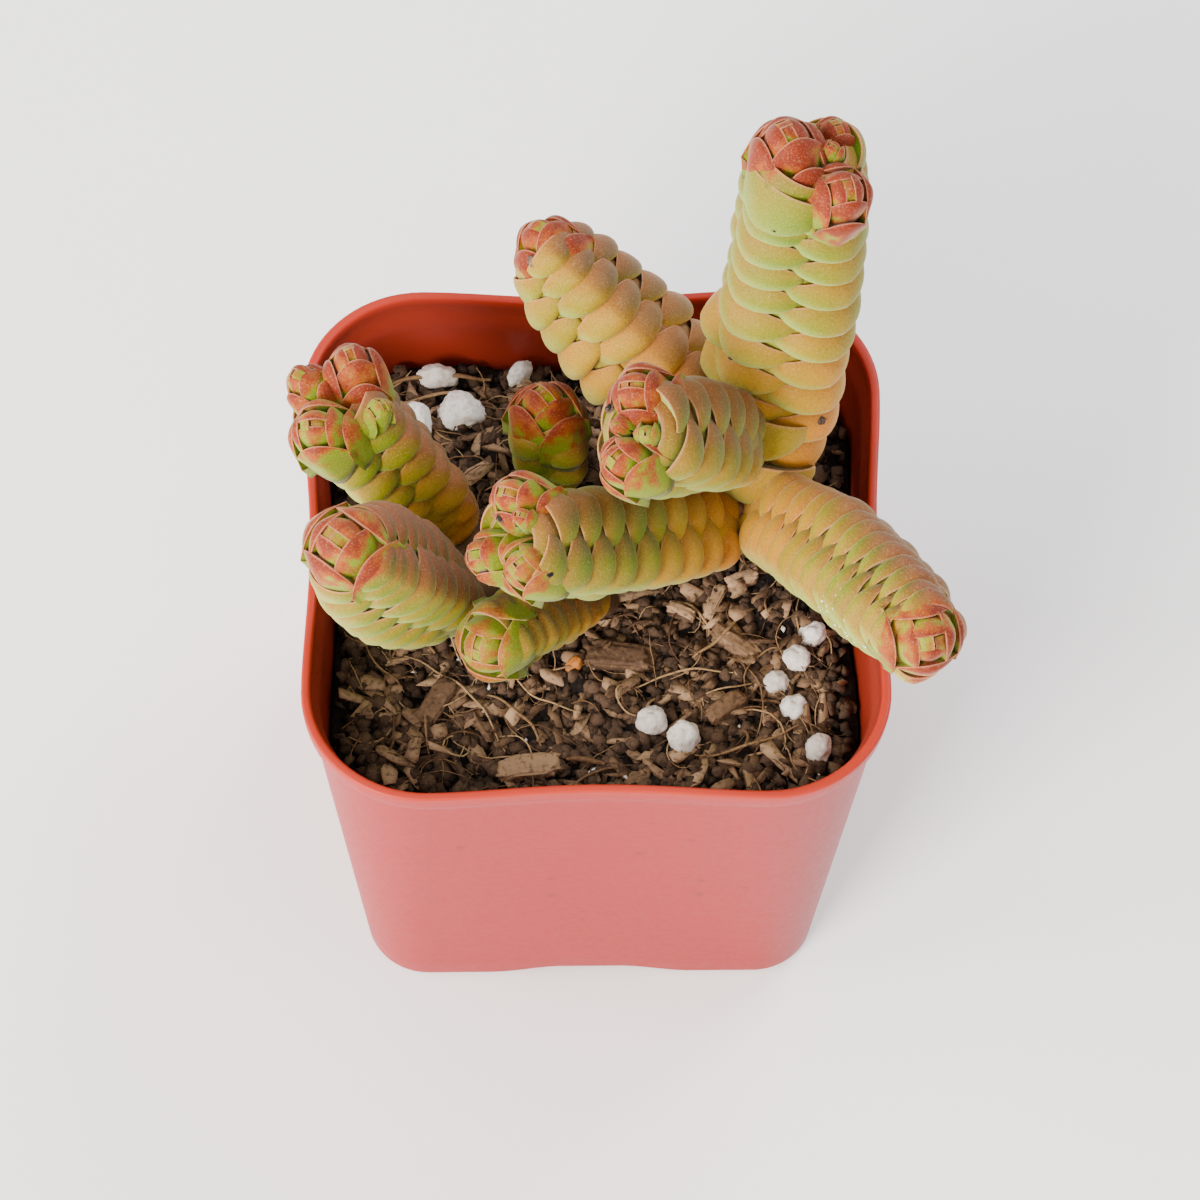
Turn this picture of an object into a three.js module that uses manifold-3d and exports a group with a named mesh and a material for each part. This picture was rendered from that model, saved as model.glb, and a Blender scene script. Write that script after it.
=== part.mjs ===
// Potted crassula columnella: leafy square columns on short woody stems, in a small square pot.
// Millimetres, +Z up, +Y away from the viewer. The origin is the middle of the pot's base.
import * as THREE from 'three';
import { mergeVertices } from 'three/addons/utils/BufferGeometryUtils.js';
import Module from 'manifold-3d';

const wasm = await Module();
wasm.setup();

// Driving dimensions
const GAP = 0.3;

const POT = {
  height: 50, topHalf: 28.5, baseHalf: 22.5, topCorner: 11.8, baseCorner: 6, bow: 0.8,
  wall: 0.9, floor: 1.6, lipHeight: 1.8, lipFlare: 0.5, footRound: 0.9, rimRound: 0.25,
  archHeight: 1.2, archFlat: 3, archReach: 10, channelStart: 0.55, channelSlope: 0.1,
  drainRadius: 2, drainAt: 15.5, drainSides: 16,
  sideSteps: 5, cornerSteps: 4,
};

// The surface of the soil is a ring of points at each of these shares of its width.
const SOIL = {
  level: 41, rimDrop: 0.7, wallGap: 0.35, footInset: 1.2, rings: [0.94, 0.78, 0.6, 0.42, 0.22],
  swell: 0.45, ripple: 0.27, crumb: 0.18,
};

// A shoot is given by three stations on its axis, foot, middle and tip: x, y, z and the radius there.
// turn is the angle of its first leaf pair from the side that looks forward and up.
// A crown is a short side axis at the tip that ends in its own dome of leaves: foot, then apex.
const SHOOTS = {
  shoot_tall: {
    stations: [[16.7, 10.2, 48.2, 6.3], [18.8, 15.0, 71.0, 6.9], [20.2, 18.3, 88.4, 6.0]], turn: 45,
    crowns: [
      { foot: [18.7, 18.4, 86.0], apex: [17.6, 20.0, 94.8], radius: 4.6, pitches: 2, turn: 20 },
      { foot: [21.8, 15.5, 86.0], apex: [23.5, 13.6, 93.6], radius: 4.1, pitches: 1.5, turn: 50 },
    ],
  },
  shoot_front: {
    stations: [[15.0, 7.3, 55.8, 5.3], [9.4, 2.7, 65.0, 6.0], [4.4, -1.1, 72.6, 5.8]], turn: 55,
    crowns: [
      { foot: [5.8, 1.8, 71.2], apex: [3.0, 0.9, 77.6], radius: 4.3, pitches: 1.5, turn: 40 },
      { foot: [5.2, -2.0, 69.4], apex: [1.6, -4.6, 74.8], radius: 4.1, pitches: 1.5, turn: 60 },
    ],
  },
  shoot_back: {
    stations: [[11.9, 11.6, 51.0, 6.6], [3.6, 18.4, 57.2, 6.2], [-4.0, 23.9, 63.2, 4.9]], turn: 6,
    crowns: [
      { foot: [-2.2, 22.8, 62.0], apex: [-5.8, 26.0, 67.4], radius: 4.7, pitches: 2, turn: 30 },
    ],
  },
  shoot_left: {
    stations: [[12.0, 2.0, 48.4, 4.7], [2.3, -4.6, 57.9, 5.6], [-6.7, -9.5, 66.4, 5.8]], turn: 47,
    crowns: [
      { foot: [-5.4, -6.8, 66.0], apex: [-9.2, -7.8, 71.4], radius: 3.9, pitches: 1.5, turn: 20 },
      { foot: [-4.6, -10.2, 63.8], apex: [-8.6, -13.0, 69.2], radius: 4.1, pitches: 1.5, turn: 50 },
    ],
  },
  shoot_right: {
    stations: [[17.7, 2.8, 48.9, 5.1], [23.8, -7.3, 58.3, 5.8], [30.3, -20.6, 67.9, 5.4]], turn: 48,
    crowns: [{ foot: [29.4, -19.0, 66.5], apex: [32.1, -24.4, 71.6], radius: 5.2, pitches: 2.5, turn: 48 }],
  },
  shoot_outer: {
    stations: [[-14.4, -5.2, 47.4, 5.1], [-19.6, -8.8, 58.4, 6.1], [-23.2, -10.7, 66.6, 5.7]], turn: 4,
    crowns: [{ foot: [-22.7, -10.4, 65.2], apex: [-25.4, -12.0, 71.8], radius: 5.5, pitches: 2.5, turn: 4 }],
  },
  shoot_rear: {
    stations: [[-14.4, 4.8, 46.9, 4.4], [-19.8, 6.2, 54.9, 5.2], [-24.4, 7.4, 61.6, 5.5]], turn: 35,
    sides: 8,
    crowns: [
      { foot: [-25.0, 8.4, 60.8], apex: [-29.6, 9.6, 66.6], radius: 3.5, pitches: 1.5, turn: 20 },
      { foot: [-24.8, 5.2, 61.2], apex: [-27.9, 3.9, 68.2], radius: 3.7, pitches: 1.5, turn: 40 },
      { foot: [-22.6, 9.2, 60.2], apex: [-23.6, 11.2, 67.8], radius: 3.7, pitches: 2, turn: 10 },
    ],
  },
  shoot_low: {
    stations: [[-1.0, -4.5, 46.0, 3.5], [-5.6, -8.7, 50.3, 4.0], [-9.6, -12.9, 53.7, 4.2]], turn: 53,
    sides: 8,
    crowns: [{ foot: [-8.9, -12.2, 53.0], apex: [-12.2, -15.8, 56.0], radius: 4.1, pitches: 2, turn: 53 }],
  },
  shoot_small: {
    stations: [[-3.6, 12.0, 43.9, 4.4], [-4.0, 12.9, 46.4, 4.7], [-4.4, 13.9, 48.8, 4.5]], turn: 30,
    sides: 8,
    crowns: [{ foot: [-4.3, 13.6, 48.0], apex: [-4.9, 15.2, 53.0], radius: 4.4, pitches: 2, turn: 30 }],
  },
};

// Each shoot is cut clear of the ones listed here, where they crowd together at the feet.
const CLEAR_OF = {
  shoot_front: ['shoot_tall'],
  shoot_back: ['shoot_tall', 'shoot_front'],
  shoot_left: ['shoot_tall', 'shoot_front', 'shoot_back'],
  shoot_right: ['shoot_tall', 'shoot_left', 'shoot_front', 'shoot_back'],
  shoot_rear: ['shoot_outer'],
  shoot_low: ['shoot_outer', 'shoot_left'],
};

const ENVELOPE = { steps: 6, sides: 16, swell: 1.07 };

// Woody stems: each limb is a list of x, y, z and radius, the first limb being the trunk in the soil.
const STEMS = {
  stem_main: [
    [[14.2, 4.6, 33.0, 2.4], [14.6, 5.4, 42.0, 2.5], [15.2, 7.0, 46.5, 2.8], [17.1, 11.2, 52.5, 1.8]],
    [[14.8, 6.2, 44.5, 2.2], [11.4, 1.6, 49.0, 1.7], [9.2, 0.1, 51.2, 1.4]],
    [[15.2, 6.4, 44.5, 2.2], [17.9, 2.4, 49.3, 1.7], [19.2, 0.3, 51.2, 1.4]],
    [[15.0, 7.4, 46.0, 2.2], [11.4, 12.0, 51.4, 1.7], [9.0, 14.0, 53.2, 1.4]],
  ],
  stem_left: [
    [[-9.0, -0.6, 33.0, 2.2], [-9.6, -0.6, 41.5, 2.3], [-11.6, -3.0, 44.8, 1.9], [-15.2, -5.8, 49.0, 1.4]],
    [[-9.8, -0.4, 41.5, 2.1], [-12.2, 3.0, 44.6, 1.7], [-15.6, 5.1, 48.6, 1.3]],
  ],
  stem_low: [
    [[1.6, -1.6, 34.0, 1.6], [1.2, -2.0, 41.5, 1.6], [-0.4, -3.9, 45.4, 1.4], [-2.4, -5.8, 47.3, 1.1]],
  ],
  stem_small: [[[-3.2, 11.4, 34.0, 1.6], [-3.5, 11.8, 42.5, 1.5], [-3.8, 12.5, 45.6, 1.2]]],
};

const STEM_SIDES = 8;

const CARRIED_BY = {
  shoot_tall: 'stem_main', shoot_back: 'stem_main', shoot_left: 'stem_main', shoot_right: 'stem_main',
  shoot_outer: 'stem_left', shoot_rear: 'stem_left', shoot_low: 'stem_low', shoot_small: 'stem_small',
};

// The leaf pattern, which repeats in every rank pitch. Four ranks of leaves wrap the column, and each leaf
// is a pillow: out from its crease to the belly, up the shoulder, in to the margin that covers the crease
// of the next leaf. Rows give heights in pitches and distances from the axis in shoot radii. The two
// ranks beside a rank stand half a pitch higher, and in the seam between ranks the side tips interlock.
const LEAF = {
  pitch: 0.5, rows: 4,
  midrib: { height: [0, 0.15, 0.55, 0.95], reach: [0.79, 0.99, 1.02, 0.93] },
  cheek: { height: [0.07, 0.23, 0.58, 0.89], reach: [0.78, 0.94, 0.97, 0.88] },
  seam: { height: [0, 0.28, 0.5, 0.78], reach: [0.88, 0.78, 0.88, 0.78] },
  closing: { pitches: 1.5, narrowing: 0.77, cap: 0.3 },
};

// A crown's dome stops short of a full quarter turn, and its foot is sunk into the column.
const CROWN = { quarter: 84, sunk: 0.4 };

// Loose grains that lie in the soil: x, y, then the half sizes, then a turn about Z in degrees
const PERLITE = [
  [5.6, -15.6, 1.7, 1.5, 1.5, 20], [8.6, -17.4, 1.8, 1.7, 1.6, 70], [19.4, -13.9, 1.6, 1.4, 1.3, 40],
  [17.8, -11.0, 1.4, 1.3, 1.2, 10], [19.9, -8.6, 1.4, 1.5, 1.3, 60], [21.4, -5.8, 1.6, 1.3, 1.2, 30],
  [21.6, -18.4, 1.7, 1.5, 1.3, 80], [-12.8, 19.7, 2.5, 2.2, 2.1, 15], [-17.2, 18.4, 1.5, 2.2, 1.7, 20],
  [-15.2, 23.6, 2.2, 1.4, 1.7, 5], [-6.9, 23.9, 1.6, 1.1, 1.3, 50],
];
const GRAIN = { lift: 0.25, dent: 0.1, ripple: 0.05, pocket: 1.2 };
const BARK = [
  [-6.4, -20.4, 3.4, 1.3, 0.9, 3], [2.4, -8.6, 3.8, 1.6, 1.0, -8], [12.9, -14.2, 2.4, 1.0, 0.9, 40],
  [-15.4, -13.2, 3.0, 1.2, 0.9, 62], [13.9, -6.6, 3.0, 1.0, 0.9, -35], [-20.2, 12.0, 2.8, 1.1, 0.9, -70],
];
const CHIP = { lift: 0.2, swell: 0.22, pinch: 0.14, skew: 0.12, tilt: 6 };

// Colour and roughness of each surface
const SURFACE = {
  pot: [0xd57f79, 0.45], soil: [0x4a3628, 1], perlite: [0xe6dfd8, 0.95], bark: [0x8a6246, 0.9],
  stem: [0x7d6148, 0.85],
  shoot_tall: [0xb9a850, 0.7], shoot_front: [0x9a9a55, 0.7], shoot_back: [0xc09a58, 0.7],
  shoot_left: [0xa9a455, 0.7], shoot_right: [0xb8964c, 0.7], shoot_outer: [0xa8b06a, 0.7],
  shoot_rear: [0xa8a05c, 0.7], shoot_low: [0xb0a452, 0.7], shoot_small: [0x96703c, 0.7],
};

// Small helpers
const DEG = Math.PI / 180;
const FORWARD_AND_UP = new THREE.Vector3(0, -0.48, 0.88);

const lerp = (a, b, t) => a + (b - a) * t;
const through = (three, t) =>
  three[0] * (1 - t) * (1 - 2 * t) + three[1] * 4 * t * (1 - t) + three[2] * t * (2 * t - 1);

function solidFromArrays(points, triangles) {
  const mesh = new wasm.Mesh({
    numProp: 3,
    vertProperties: Float32Array.from(points.flat()),
    triVerts: Uint32Array.from(triangles.flat()),
  });
  mesh.merge();
  return new wasm.Manifold(mesh);
}

function solidFromGeometry(geometry) {
  geometry.deleteAttribute('normal');
  geometry.deleteAttribute('uv');
  const merged = mergeVertices(geometry, 1e-4);
  const position = merged.attributes.position;
  const points = Array.from({ length: position.count },
    (_, i) => [position.getX(i), position.getY(i), position.getZ(i)]);
  return solidFromArrays(points, [Array.from(merged.index.array)]);
}

function geometryFromSolid(solid) {
  const mesh = solid.getMesh();
  const geometry = new THREE.BufferGeometry();
  geometry.setAttribute('position', new THREE.BufferAttribute(Float32Array.from(mesh.vertProperties), 3));
  geometry.setIndex(new THREE.BufferAttribute(Uint32Array.from(mesh.triVerts), 1));
  return geometry;
}

// A closed skin over rings of equal length, from one cap point to the other.
function loft(startCap, rings, endCap) {
  const count = rings[0].length;
  const points = [startCap, ...rings.flat(), endCap];
  const at = (ring, j) => 1 + ring * count + (j % count);
  const last = points.length - 1;
  const triangles = [];
  for (let j = 0; j < count; j += 1) {
    triangles.push([0, at(0, j + 1), at(0, j)]);
    triangles.push([last, at(rings.length - 1, j), at(rings.length - 1, j + 1)]);
    for (let i = 0; i + 1 < rings.length; i += 1) {
      triangles.push([at(i, j), at(i, j + 1), at(i + 1, j + 1)]);
      triangles.push([at(i, j), at(i + 1, j + 1), at(i + 1, j)]);
    }
  }
  return solidFromArrays(points, triangles);
}

// Pot outline: a square with round corners whose sides bow inward. Each point also carries how far up the
// low arch in the pot's bottom edge lifts it.
function potOutline(half, corner, bow, z, lift = 0) {
  const straight = half - corner;
  const ring = [];
  for (let side = 0; side < 4; side += 1) {
    const turn = side * 90 * DEG;
    const place = (x, y, raise) => ring.push([
      x * Math.cos(turn) - y * Math.sin(turn), x * Math.sin(turn) + y * Math.cos(turn), z + raise]);
    for (let k = 0; k < POT.sideSteps; k += 1) {
      const t = -1 + (2 * k) / POT.sideSteps;
      const along = t * straight;
      const fall = THREE.MathUtils.smoothstep(Math.abs(along), POT.archFlat, POT.archReach);
      place(along, -half + bow * (1 - t * t) ** 2, lift * (1 - fall));
    }
    for (let k = 0; k < POT.cornerSteps; k += 1) {
      const a = (-90 + (90 * k) / POT.cornerSteps) * DEG;
      place(straight + corner * Math.cos(a), -straight + corner * Math.sin(a), 0);
    }
  }
  return ring;
}

// The pot's wall at a height: its outer outline, moved inward by a given amount.
function potSection(z, inward, lift = 0, ringZ = z) {
  const t = z / POT.height;
  const half = lerp(POT.baseHalf, POT.topHalf - POT.lipFlare, t) - inward;
  const flare = POT.lipFlare * THREE.MathUtils.smoothstep(z, POT.height - 2 * POT.lipHeight,
    POT.height - POT.lipHeight);
  const corner = lerp(POT.baseCorner, POT.topCorner, t) - 0.6 * inward;
  return potOutline(half + flare, corner, POT.bow * t, ringZ, lift);
}

function makePot() {
  const { height, wall, floor, lipHeight, footRound, rimRound, archHeight, baseHalf } = POT;
  const { channelStart, channelSlope } = POT;
  const lipFoot = height - lipHeight;
  const lipEase = height - 2 * lipHeight;
  const base = (scale, z, lift) => potOutline(baseHalf * scale, baseHalf * scale * 0.3, 0, z, lift);
  const rings = [
    base(channelStart - channelSlope, 0, 0),
    base(channelStart, 0, archHeight),
    potSection(0, footRound, archHeight),
    potSection(footRound, 0.05, archHeight),
    potSection(lipEase, 0),
    potSection(lipFoot, 0),
    potSection(height - rimRound, 0),
    potSection(height, rimRound),
    potSection(height, wall - 0.1),
    potSection(lipFoot, wall),
    potSection(lipEase, wall),
    potSection(floor + footRound, wall + 0.2, archHeight),
    potSection(floor, wall + footRound + 0.6, archHeight),
    base(channelStart - 0.04, floor, archHeight),
    base(channelStart - 0.04 - channelSlope, floor, 0),
  ];
  let pot = loft([0, 0, 0], rings, [0, 0, floor]);
  for (let k = 0; k < 4; k += 1) {
    const drain = new THREE.CylinderGeometry(POT.drainRadius, POT.drainRadius, 4 * floor, POT.drainSides);
    drain.rotateX(90 * DEG);
    drain.translate(POT.drainAt * Math.cos(k * 90 * DEG), POT.drainAt * Math.sin(k * 90 * DEG), floor);
    pot = pot.subtract(solidFromGeometry(drain));
  }
  return pot;
}

// Height of the soil's lumpy surface
function soilHeight(x, y) {
  return SOIL.level
    + SOIL.swell * Math.sin(0.55 * x + 1.1) * Math.cos(0.48 * y - 0.6)
    + SOIL.ripple * Math.sin(1.15 * x - 0.9 * y + 0.4)
    + SOIL.crumb * Math.cos(1.6 * y + 0.7 * x);
}

function makeSoil() {
  const bottom = POT.floor + POT.archHeight + GAP;
  const edge = SOIL.level - SOIL.rimDrop;
  const clear = POT.wall + SOIL.wallGap;
  const surfaceRing = (scale) => potSection(edge, clear).map(([x, y]) =>
    [x * scale, y * scale, soilHeight(x * scale, y * scale) - SOIL.rimDrop * Math.max(0, 5 * scale - 4)]);
  const rings = [
    potSection(bottom, clear + SOIL.footInset),
    potSection(bottom + SOIL.footInset, clear + 0.25 * SOIL.footInset),
    potSection(edge, clear),
    ...SOIL.rings.map(surfaceRing),
  ];
  return loft([0, 0, bottom], rings, [0, 0, soilHeight(0, 0)]);
}

// A rough grain: a faceted ball with uneven half sizes, sunk partly into the soil. Its pocket in the soil
// is the plain twenty-sided shape that holds it with the gap all round.
function makeGrain([x, y, halfX, halfY, halfZ, turn], seed) {
  const ball = new THREE.IcosahedronGeometry(1, 0);
  const position = ball.attributes.position;
  const p = new THREE.Vector3();
  for (let i = 0; i < position.count; i += 1) {
    p.fromBufferAttribute(position, i);
    const dent = GRAIN.dent * Math.sin(3.1 * p.x + seed) * Math.cos(2.7 * p.y - seed);
    p.multiplyScalar(1 + dent + GRAIN.ripple * Math.sin(4.3 * p.z + 2 * seed));
    position.setXYZ(i, p.x * halfX, p.y * halfY, p.z * halfZ);
  }
  ball.rotateZ(turn * DEG);
  ball.translate(x, y, soilHeight(x, y) + GRAIN.lift * halfZ);
  return solidFromGeometry(ball);
}

function makeGrainPocket([x, y, halfX, halfY, halfZ, turn]) {
  const ball = new THREE.IcosahedronGeometry(1, 0);
  ball.scale(...[halfX, halfY, halfZ].map((half) => half * GRAIN.pocket + GAP));
  ball.rotateZ(turn * DEG);
  ball.translate(x, y, soilHeight(x, y) + GRAIN.lift * halfZ);
  return solidFromGeometry(ball);
}

// A bark chip: a split flake, thicker at one end.
function makeChip([x, y, halfX, halfY, halfZ, turn], seed, grow = 0) {
  const flake = new THREE.BoxGeometry(2, 2, 2, 3, 1, 1);
  const position = flake.attributes.position;
  const p = new THREE.Vector3();
  for (let i = 0; i < position.count; i += 1) {
    p.fromBufferAttribute(position, i);
    const width = 0.9 + CHIP.swell * Math.sin(2.3 * p.x + seed) - CHIP.pinch * p.x * p.x;
    const thickness = 1 + CHIP.swell * Math.sin(p.x + seed);
    position.setXYZ(i, p.x * (halfX + grow) * (1 - CHIP.skew * p.y * Math.sin(seed)),
      p.y * (halfY * width + grow), p.z * (halfZ * thickness + grow));
  }
  flake.rotateY(CHIP.tilt * Math.sin(seed) * DEG);
  flake.rotateZ(turn * DEG);
  flake.translate(x, y, soilHeight(x, y) + CHIP.lift);
  return solidFromGeometry(flake);
}

// A limb or core: rings of a given number of sides round a list of stations, with pointed ends.
function sweep(stations, sides, grow = 0) {
  const centres = stations.map(([x, y, z]) => new THREE.Vector3(x, y, z));
  const direction = (i) => centres[Math.min(i + 1, centres.length - 1)].clone()
    .sub(centres[Math.max(i - 1, 0)]).normalize();
  const rings = stations.map((station, i) => {
    const ahead = direction(i);
    const across = new THREE.Vector3(1, 0.2, 0).cross(ahead).normalize();
    const other = ahead.clone().cross(across);
    const radius = station[3] + grow;
    return Array.from({ length: sides }, (_, j) => {
      const a = (j / sides) * 360 * DEG;
      return centres[i].clone().addScaledVector(across, radius * Math.cos(a))
        .addScaledVector(other, radius * Math.sin(a)).toArray();
    });
  });
  const end = (i, sign) => centres[i].clone()
    .addScaledVector(direction(i), sign * (0.35 * stations[i][3] + grow)).toArray();
  return loft(end(0, -1), rings, end(stations.length - 1, 1));
}

function makeStem(limbs, grow = 0) {
  return wasm.Manifold.union(limbs.map((limb) => sweep(limb, STEM_SIDES, grow)));
}

// Frame at a point of an axis: ahead along it, facing the forward and upper side, and aside.
function frameAt(origin, ahead) {
  const facing = FORWARD_AND_UP.clone().addScaledVector(ahead, -FORWARD_AND_UP.dot(ahead)).normalize();
  return { origin, ahead, facing, aside: ahead.clone().cross(facing) };
}

function shootFrame(stations, t) {
  const pick = (s) => new THREE.Vector3(...[0, 1, 2].map((k) => through(stations.map((p) => p[k]), s)));
  return frameAt(pick(t), pick(t + 0.01).sub(pick(t - 0.01)).normalize());
}

// The leaf pattern at one place of a column: column is the number of a mesh line round it, row counts
// upward, and sides is 16, or 8 where the cheeks of the leaves are left out.
function leafPoint(column, row, sides) {
  const half = sides / 8;
  const rank = Math.round(column / (2 * half));
  const offset = Math.abs(column - rank * 2 * half);
  const kind = offset === half ? LEAF.seam : offset === 0 ? LEAF.midrib : LEAF.cheek;
  const risen = kind === LEAF.seam ? 0 : (rank % 2) * 2;
  const index = row - risen;
  const pitchNumber = Math.floor(index / LEAF.rows);
  const k = index - pitchNumber * LEAF.rows;
  return { height: kind.height[k] + pitchNumber + risen / LEAF.rows, reach: kind.reach[k] };
}

// A closed column of leaves. place(height) gives the frame and the radius at a height counted in pitches.
function leafyColumn(place, pitches, sides, turn, footCap, topCap) {
  const points = [footCap];
  const rows = Math.floor(pitches * LEAF.rows);
  for (let row = 0; row <= rows; row += 1) {
    for (let column = 0; column < sides; column += 1) {
      const { height, reach } = leafPoint(column, row, sides);
      const { frame, radius } = place(Math.min(height, pitches));
      const angle = (turn + (column * 360) / sides) * DEG;
      points.push(frame.origin.clone()
        .addScaledVector(frame.facing, reach * radius * Math.cos(angle))
        .addScaledVector(frame.aside, reach * radius * Math.sin(angle)).toArray());
    }
  }
  points.push(topCap);
  const at = (row, column) => 1 + row * sides + (column % sides);
  const last = points.length - 1;
  const triangles = [];
  for (let j = 0; j < sides; j += 1) {
    triangles.push([0, at(0, j + 1), at(0, j)]);
    triangles.push([last, at(rows, j), at(rows, j + 1)]);
    const towardSeam = Math.floor(j / (sides / 8)) % 2 === 0;
    for (let i = 0; i < rows; i += 1) {
      const [a, b, c, d] = [at(i, j), at(i, j + 1), at(i + 1, j + 1), at(i + 1, j)];
      triangles.push(...(towardSeam ? [[a, b, c], [a, c, d]] : [[a, b, d], [b, c, d]]));
    }
  }
  return solidFromArrays(points, triangles);
}

function bodySolid({ stations, turn, sides = 16 }) {
  const length = new THREE.Vector3(...stations[2].slice(0, 3))
    .distanceTo(new THREE.Vector3(...stations[0].slice(0, 3)));
  const radiusAt = (t) => through(stations.map((p) => p[3]), t);
  const steps = [0];
  while (steps.at(-1) < 1) steps.push(steps.at(-1) + (LEAF.pitch * radiusAt(steps.at(-1))) / length / 8);
  const pitches = Math.floor((steps.length - 1) / 4) / 2;
  const place = (height) => {
    const i = Math.min(Math.floor(height * 8), steps.length - 2);
    const t = lerp(steps[i], steps[i + 1], height * 8 - i);
    const near = Math.max(0, 1 - (pitches - height) / LEAF.closing.pitches);
    const narrowing = Math.sqrt(1 - LEAF.closing.narrowing * near ** 4);
    return { frame: shootFrame(stations, t), radius: radiusAt(t) * narrowing };
  };
  const end = (t, along) => {
    const { origin, ahead } = shootFrame(stations, t);
    return origin.clone().addScaledVector(ahead, along * radiusAt(t)).toArray();
  };
  return leafyColumn(place, pitches, sides, turn, end(0, -0.1), end(1, LEAF.closing.cap));
}

// A crown: the same leaf pattern drawn over a dome, so that the pairs grow smaller toward its apex.
function crownSolid({ foot, apex, radius, pitches, turn, sides = 8 }) {
  const ahead = new THREE.Vector3(...apex).sub(new THREE.Vector3(...foot));
  const height = ahead.length();
  ahead.normalize();
  const place = (n) => {
    const angle = Math.min(n / pitches, 1) * CROWN.quarter * DEG;
    const origin = new THREE.Vector3(...foot).addScaledVector(ahead, height * Math.sin(angle));
    return { frame: frameAt(origin, ahead), radius: radius * Math.cos(angle) };
  };
  const below = new THREE.Vector3(...foot).addScaledVector(ahead, -CROWN.sunk * radius).toArray();
  return leafyColumn(place, pitches, sides, turn, below, apex);
}

function makeShoot(shoot) {
  return wasm.Manifold.union([bodySolid(shoot), ...shoot.crowns.map(crownSolid)]);
}

// The space that a shoot fills, with a gap round it, for cutting its neighbours clear.
function shootEnvelope({ stations }) {
  const { steps, sides, swell } = ENVELOPE;
  const along = Array.from({ length: steps + 1 }, (_, i) => i / steps);
  const value = (k, t) => through(stations.map((p) => p[k]), t);
  return sweep(along.map((t) => [value(0, t), value(1, t), value(2, t), value(3, t) * swell]), sides, GAP);
}

// Assembly
const plant = new THREE.Group();

function addPiece(name, solid, [color, roughness]) {
  const material = new THREE.MeshStandardMaterial({ color, roughness, metalness: 0 });
  const mesh = new THREE.Mesh(geometryFromSolid(solid), material);
  mesh.name = name;
  plant.add(mesh);
}

let soil = makeSoil();
for (const [name, limbs] of Object.entries(STEMS)) {
  addPiece(name, makeStem(limbs), SURFACE.stem);
  soil = soil.subtract(makeStem(limbs, GAP));
}
PERLITE.forEach((grain, i) => {
  addPiece(`perlite_${i + 1}`, makeGrain(grain, i + 1), SURFACE.perlite);
  soil = soil.subtract(makeGrainPocket(grain));
});
BARK.forEach((chip, i) => {
  addPiece(`bark_${i + 1}`, makeChip(chip, i + 1), SURFACE.bark);
  soil = soil.subtract(makeChip(chip, i + 1, GAP));
});
addPiece('soil', soil, SURFACE.soil);
addPiece('pot', makePot(), SURFACE.pot);

for (const [name, shoot] of Object.entries(SHOOTS)) {
  let solid = makeShoot(shoot);
  for (const other of CLEAR_OF[name] ?? []) solid = solid.subtract(shootEnvelope(SHOOTS[other]));
  if (CARRIED_BY[name]) solid = solid.subtract(makeStem(STEMS[CARRIED_BY[name]], GAP));
  addPiece(name, solid, SURFACE[name]);
}

export default plant;
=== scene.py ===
"""Potted crassula columnella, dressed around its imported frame.

Metres, +Z up, +Y away from the viewer. The origin is the middle of the pot's base.
"""

import logging
import math
from dataclasses import dataclass, field
from enum import Enum
from functools import partial
from typing import Any, Callable, Sequence

import bmesh
import bpy
import numpy as np
from mathutils import Matrix, Vector, noise


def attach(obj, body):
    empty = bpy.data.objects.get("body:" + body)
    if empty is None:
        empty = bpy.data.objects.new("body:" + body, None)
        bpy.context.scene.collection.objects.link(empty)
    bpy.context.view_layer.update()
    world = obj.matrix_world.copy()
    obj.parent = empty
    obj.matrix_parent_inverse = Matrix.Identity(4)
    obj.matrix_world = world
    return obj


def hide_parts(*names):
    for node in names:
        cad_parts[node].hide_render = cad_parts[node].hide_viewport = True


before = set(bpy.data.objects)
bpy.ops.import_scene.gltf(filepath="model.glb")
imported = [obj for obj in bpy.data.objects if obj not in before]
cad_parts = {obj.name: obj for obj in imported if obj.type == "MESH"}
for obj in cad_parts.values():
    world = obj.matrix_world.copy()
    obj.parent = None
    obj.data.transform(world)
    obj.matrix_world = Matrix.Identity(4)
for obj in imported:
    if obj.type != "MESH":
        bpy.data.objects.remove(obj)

LOG = logging.getLogger("crassula")
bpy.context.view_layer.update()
MM = 0.001
QUARTER = math.pi / 2
FORWARD_AND_UP = Vector((0.0, -0.48, 0.88))
# the direction that the leaves' sun tan, their painted shade and their painted bounce light follow; no lamp
# stands there
SUN_AND_PAINTED_LIGHT = Vector((0.5, 0.35, 0.8)).normalized()

# settings that many nodes share: an eased map range, a value of three numbers, a mix of two colours
EASE = {"interpolation_type": "SMOOTHSTEP"}
VECTOR = {"data_type": "FLOAT_VECTOR"}
PAINT = {"data_type": "RGBA", "out": 2}

Row = Sequence[float]
Face = tuple[int, ...]
Placement = dict[str, Any]


def srgb(code: str) -> tuple[float, float, float, float]:
    """Turns an sRGB hex colour into linear.

    Args:
        code: six hex digits.

    Returns:
        Linear red, green and blue, and an alpha of 1.
    """
    parts = [int(code[i : i + 2], 16) / 255 for i in (0, 2, 4)]
    linear = [p / 12.92 if p <= 0.04045 else ((p + 0.055) / 1.055) ** 2.4 for p in parts]
    return (*linear, 1.0)


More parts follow.
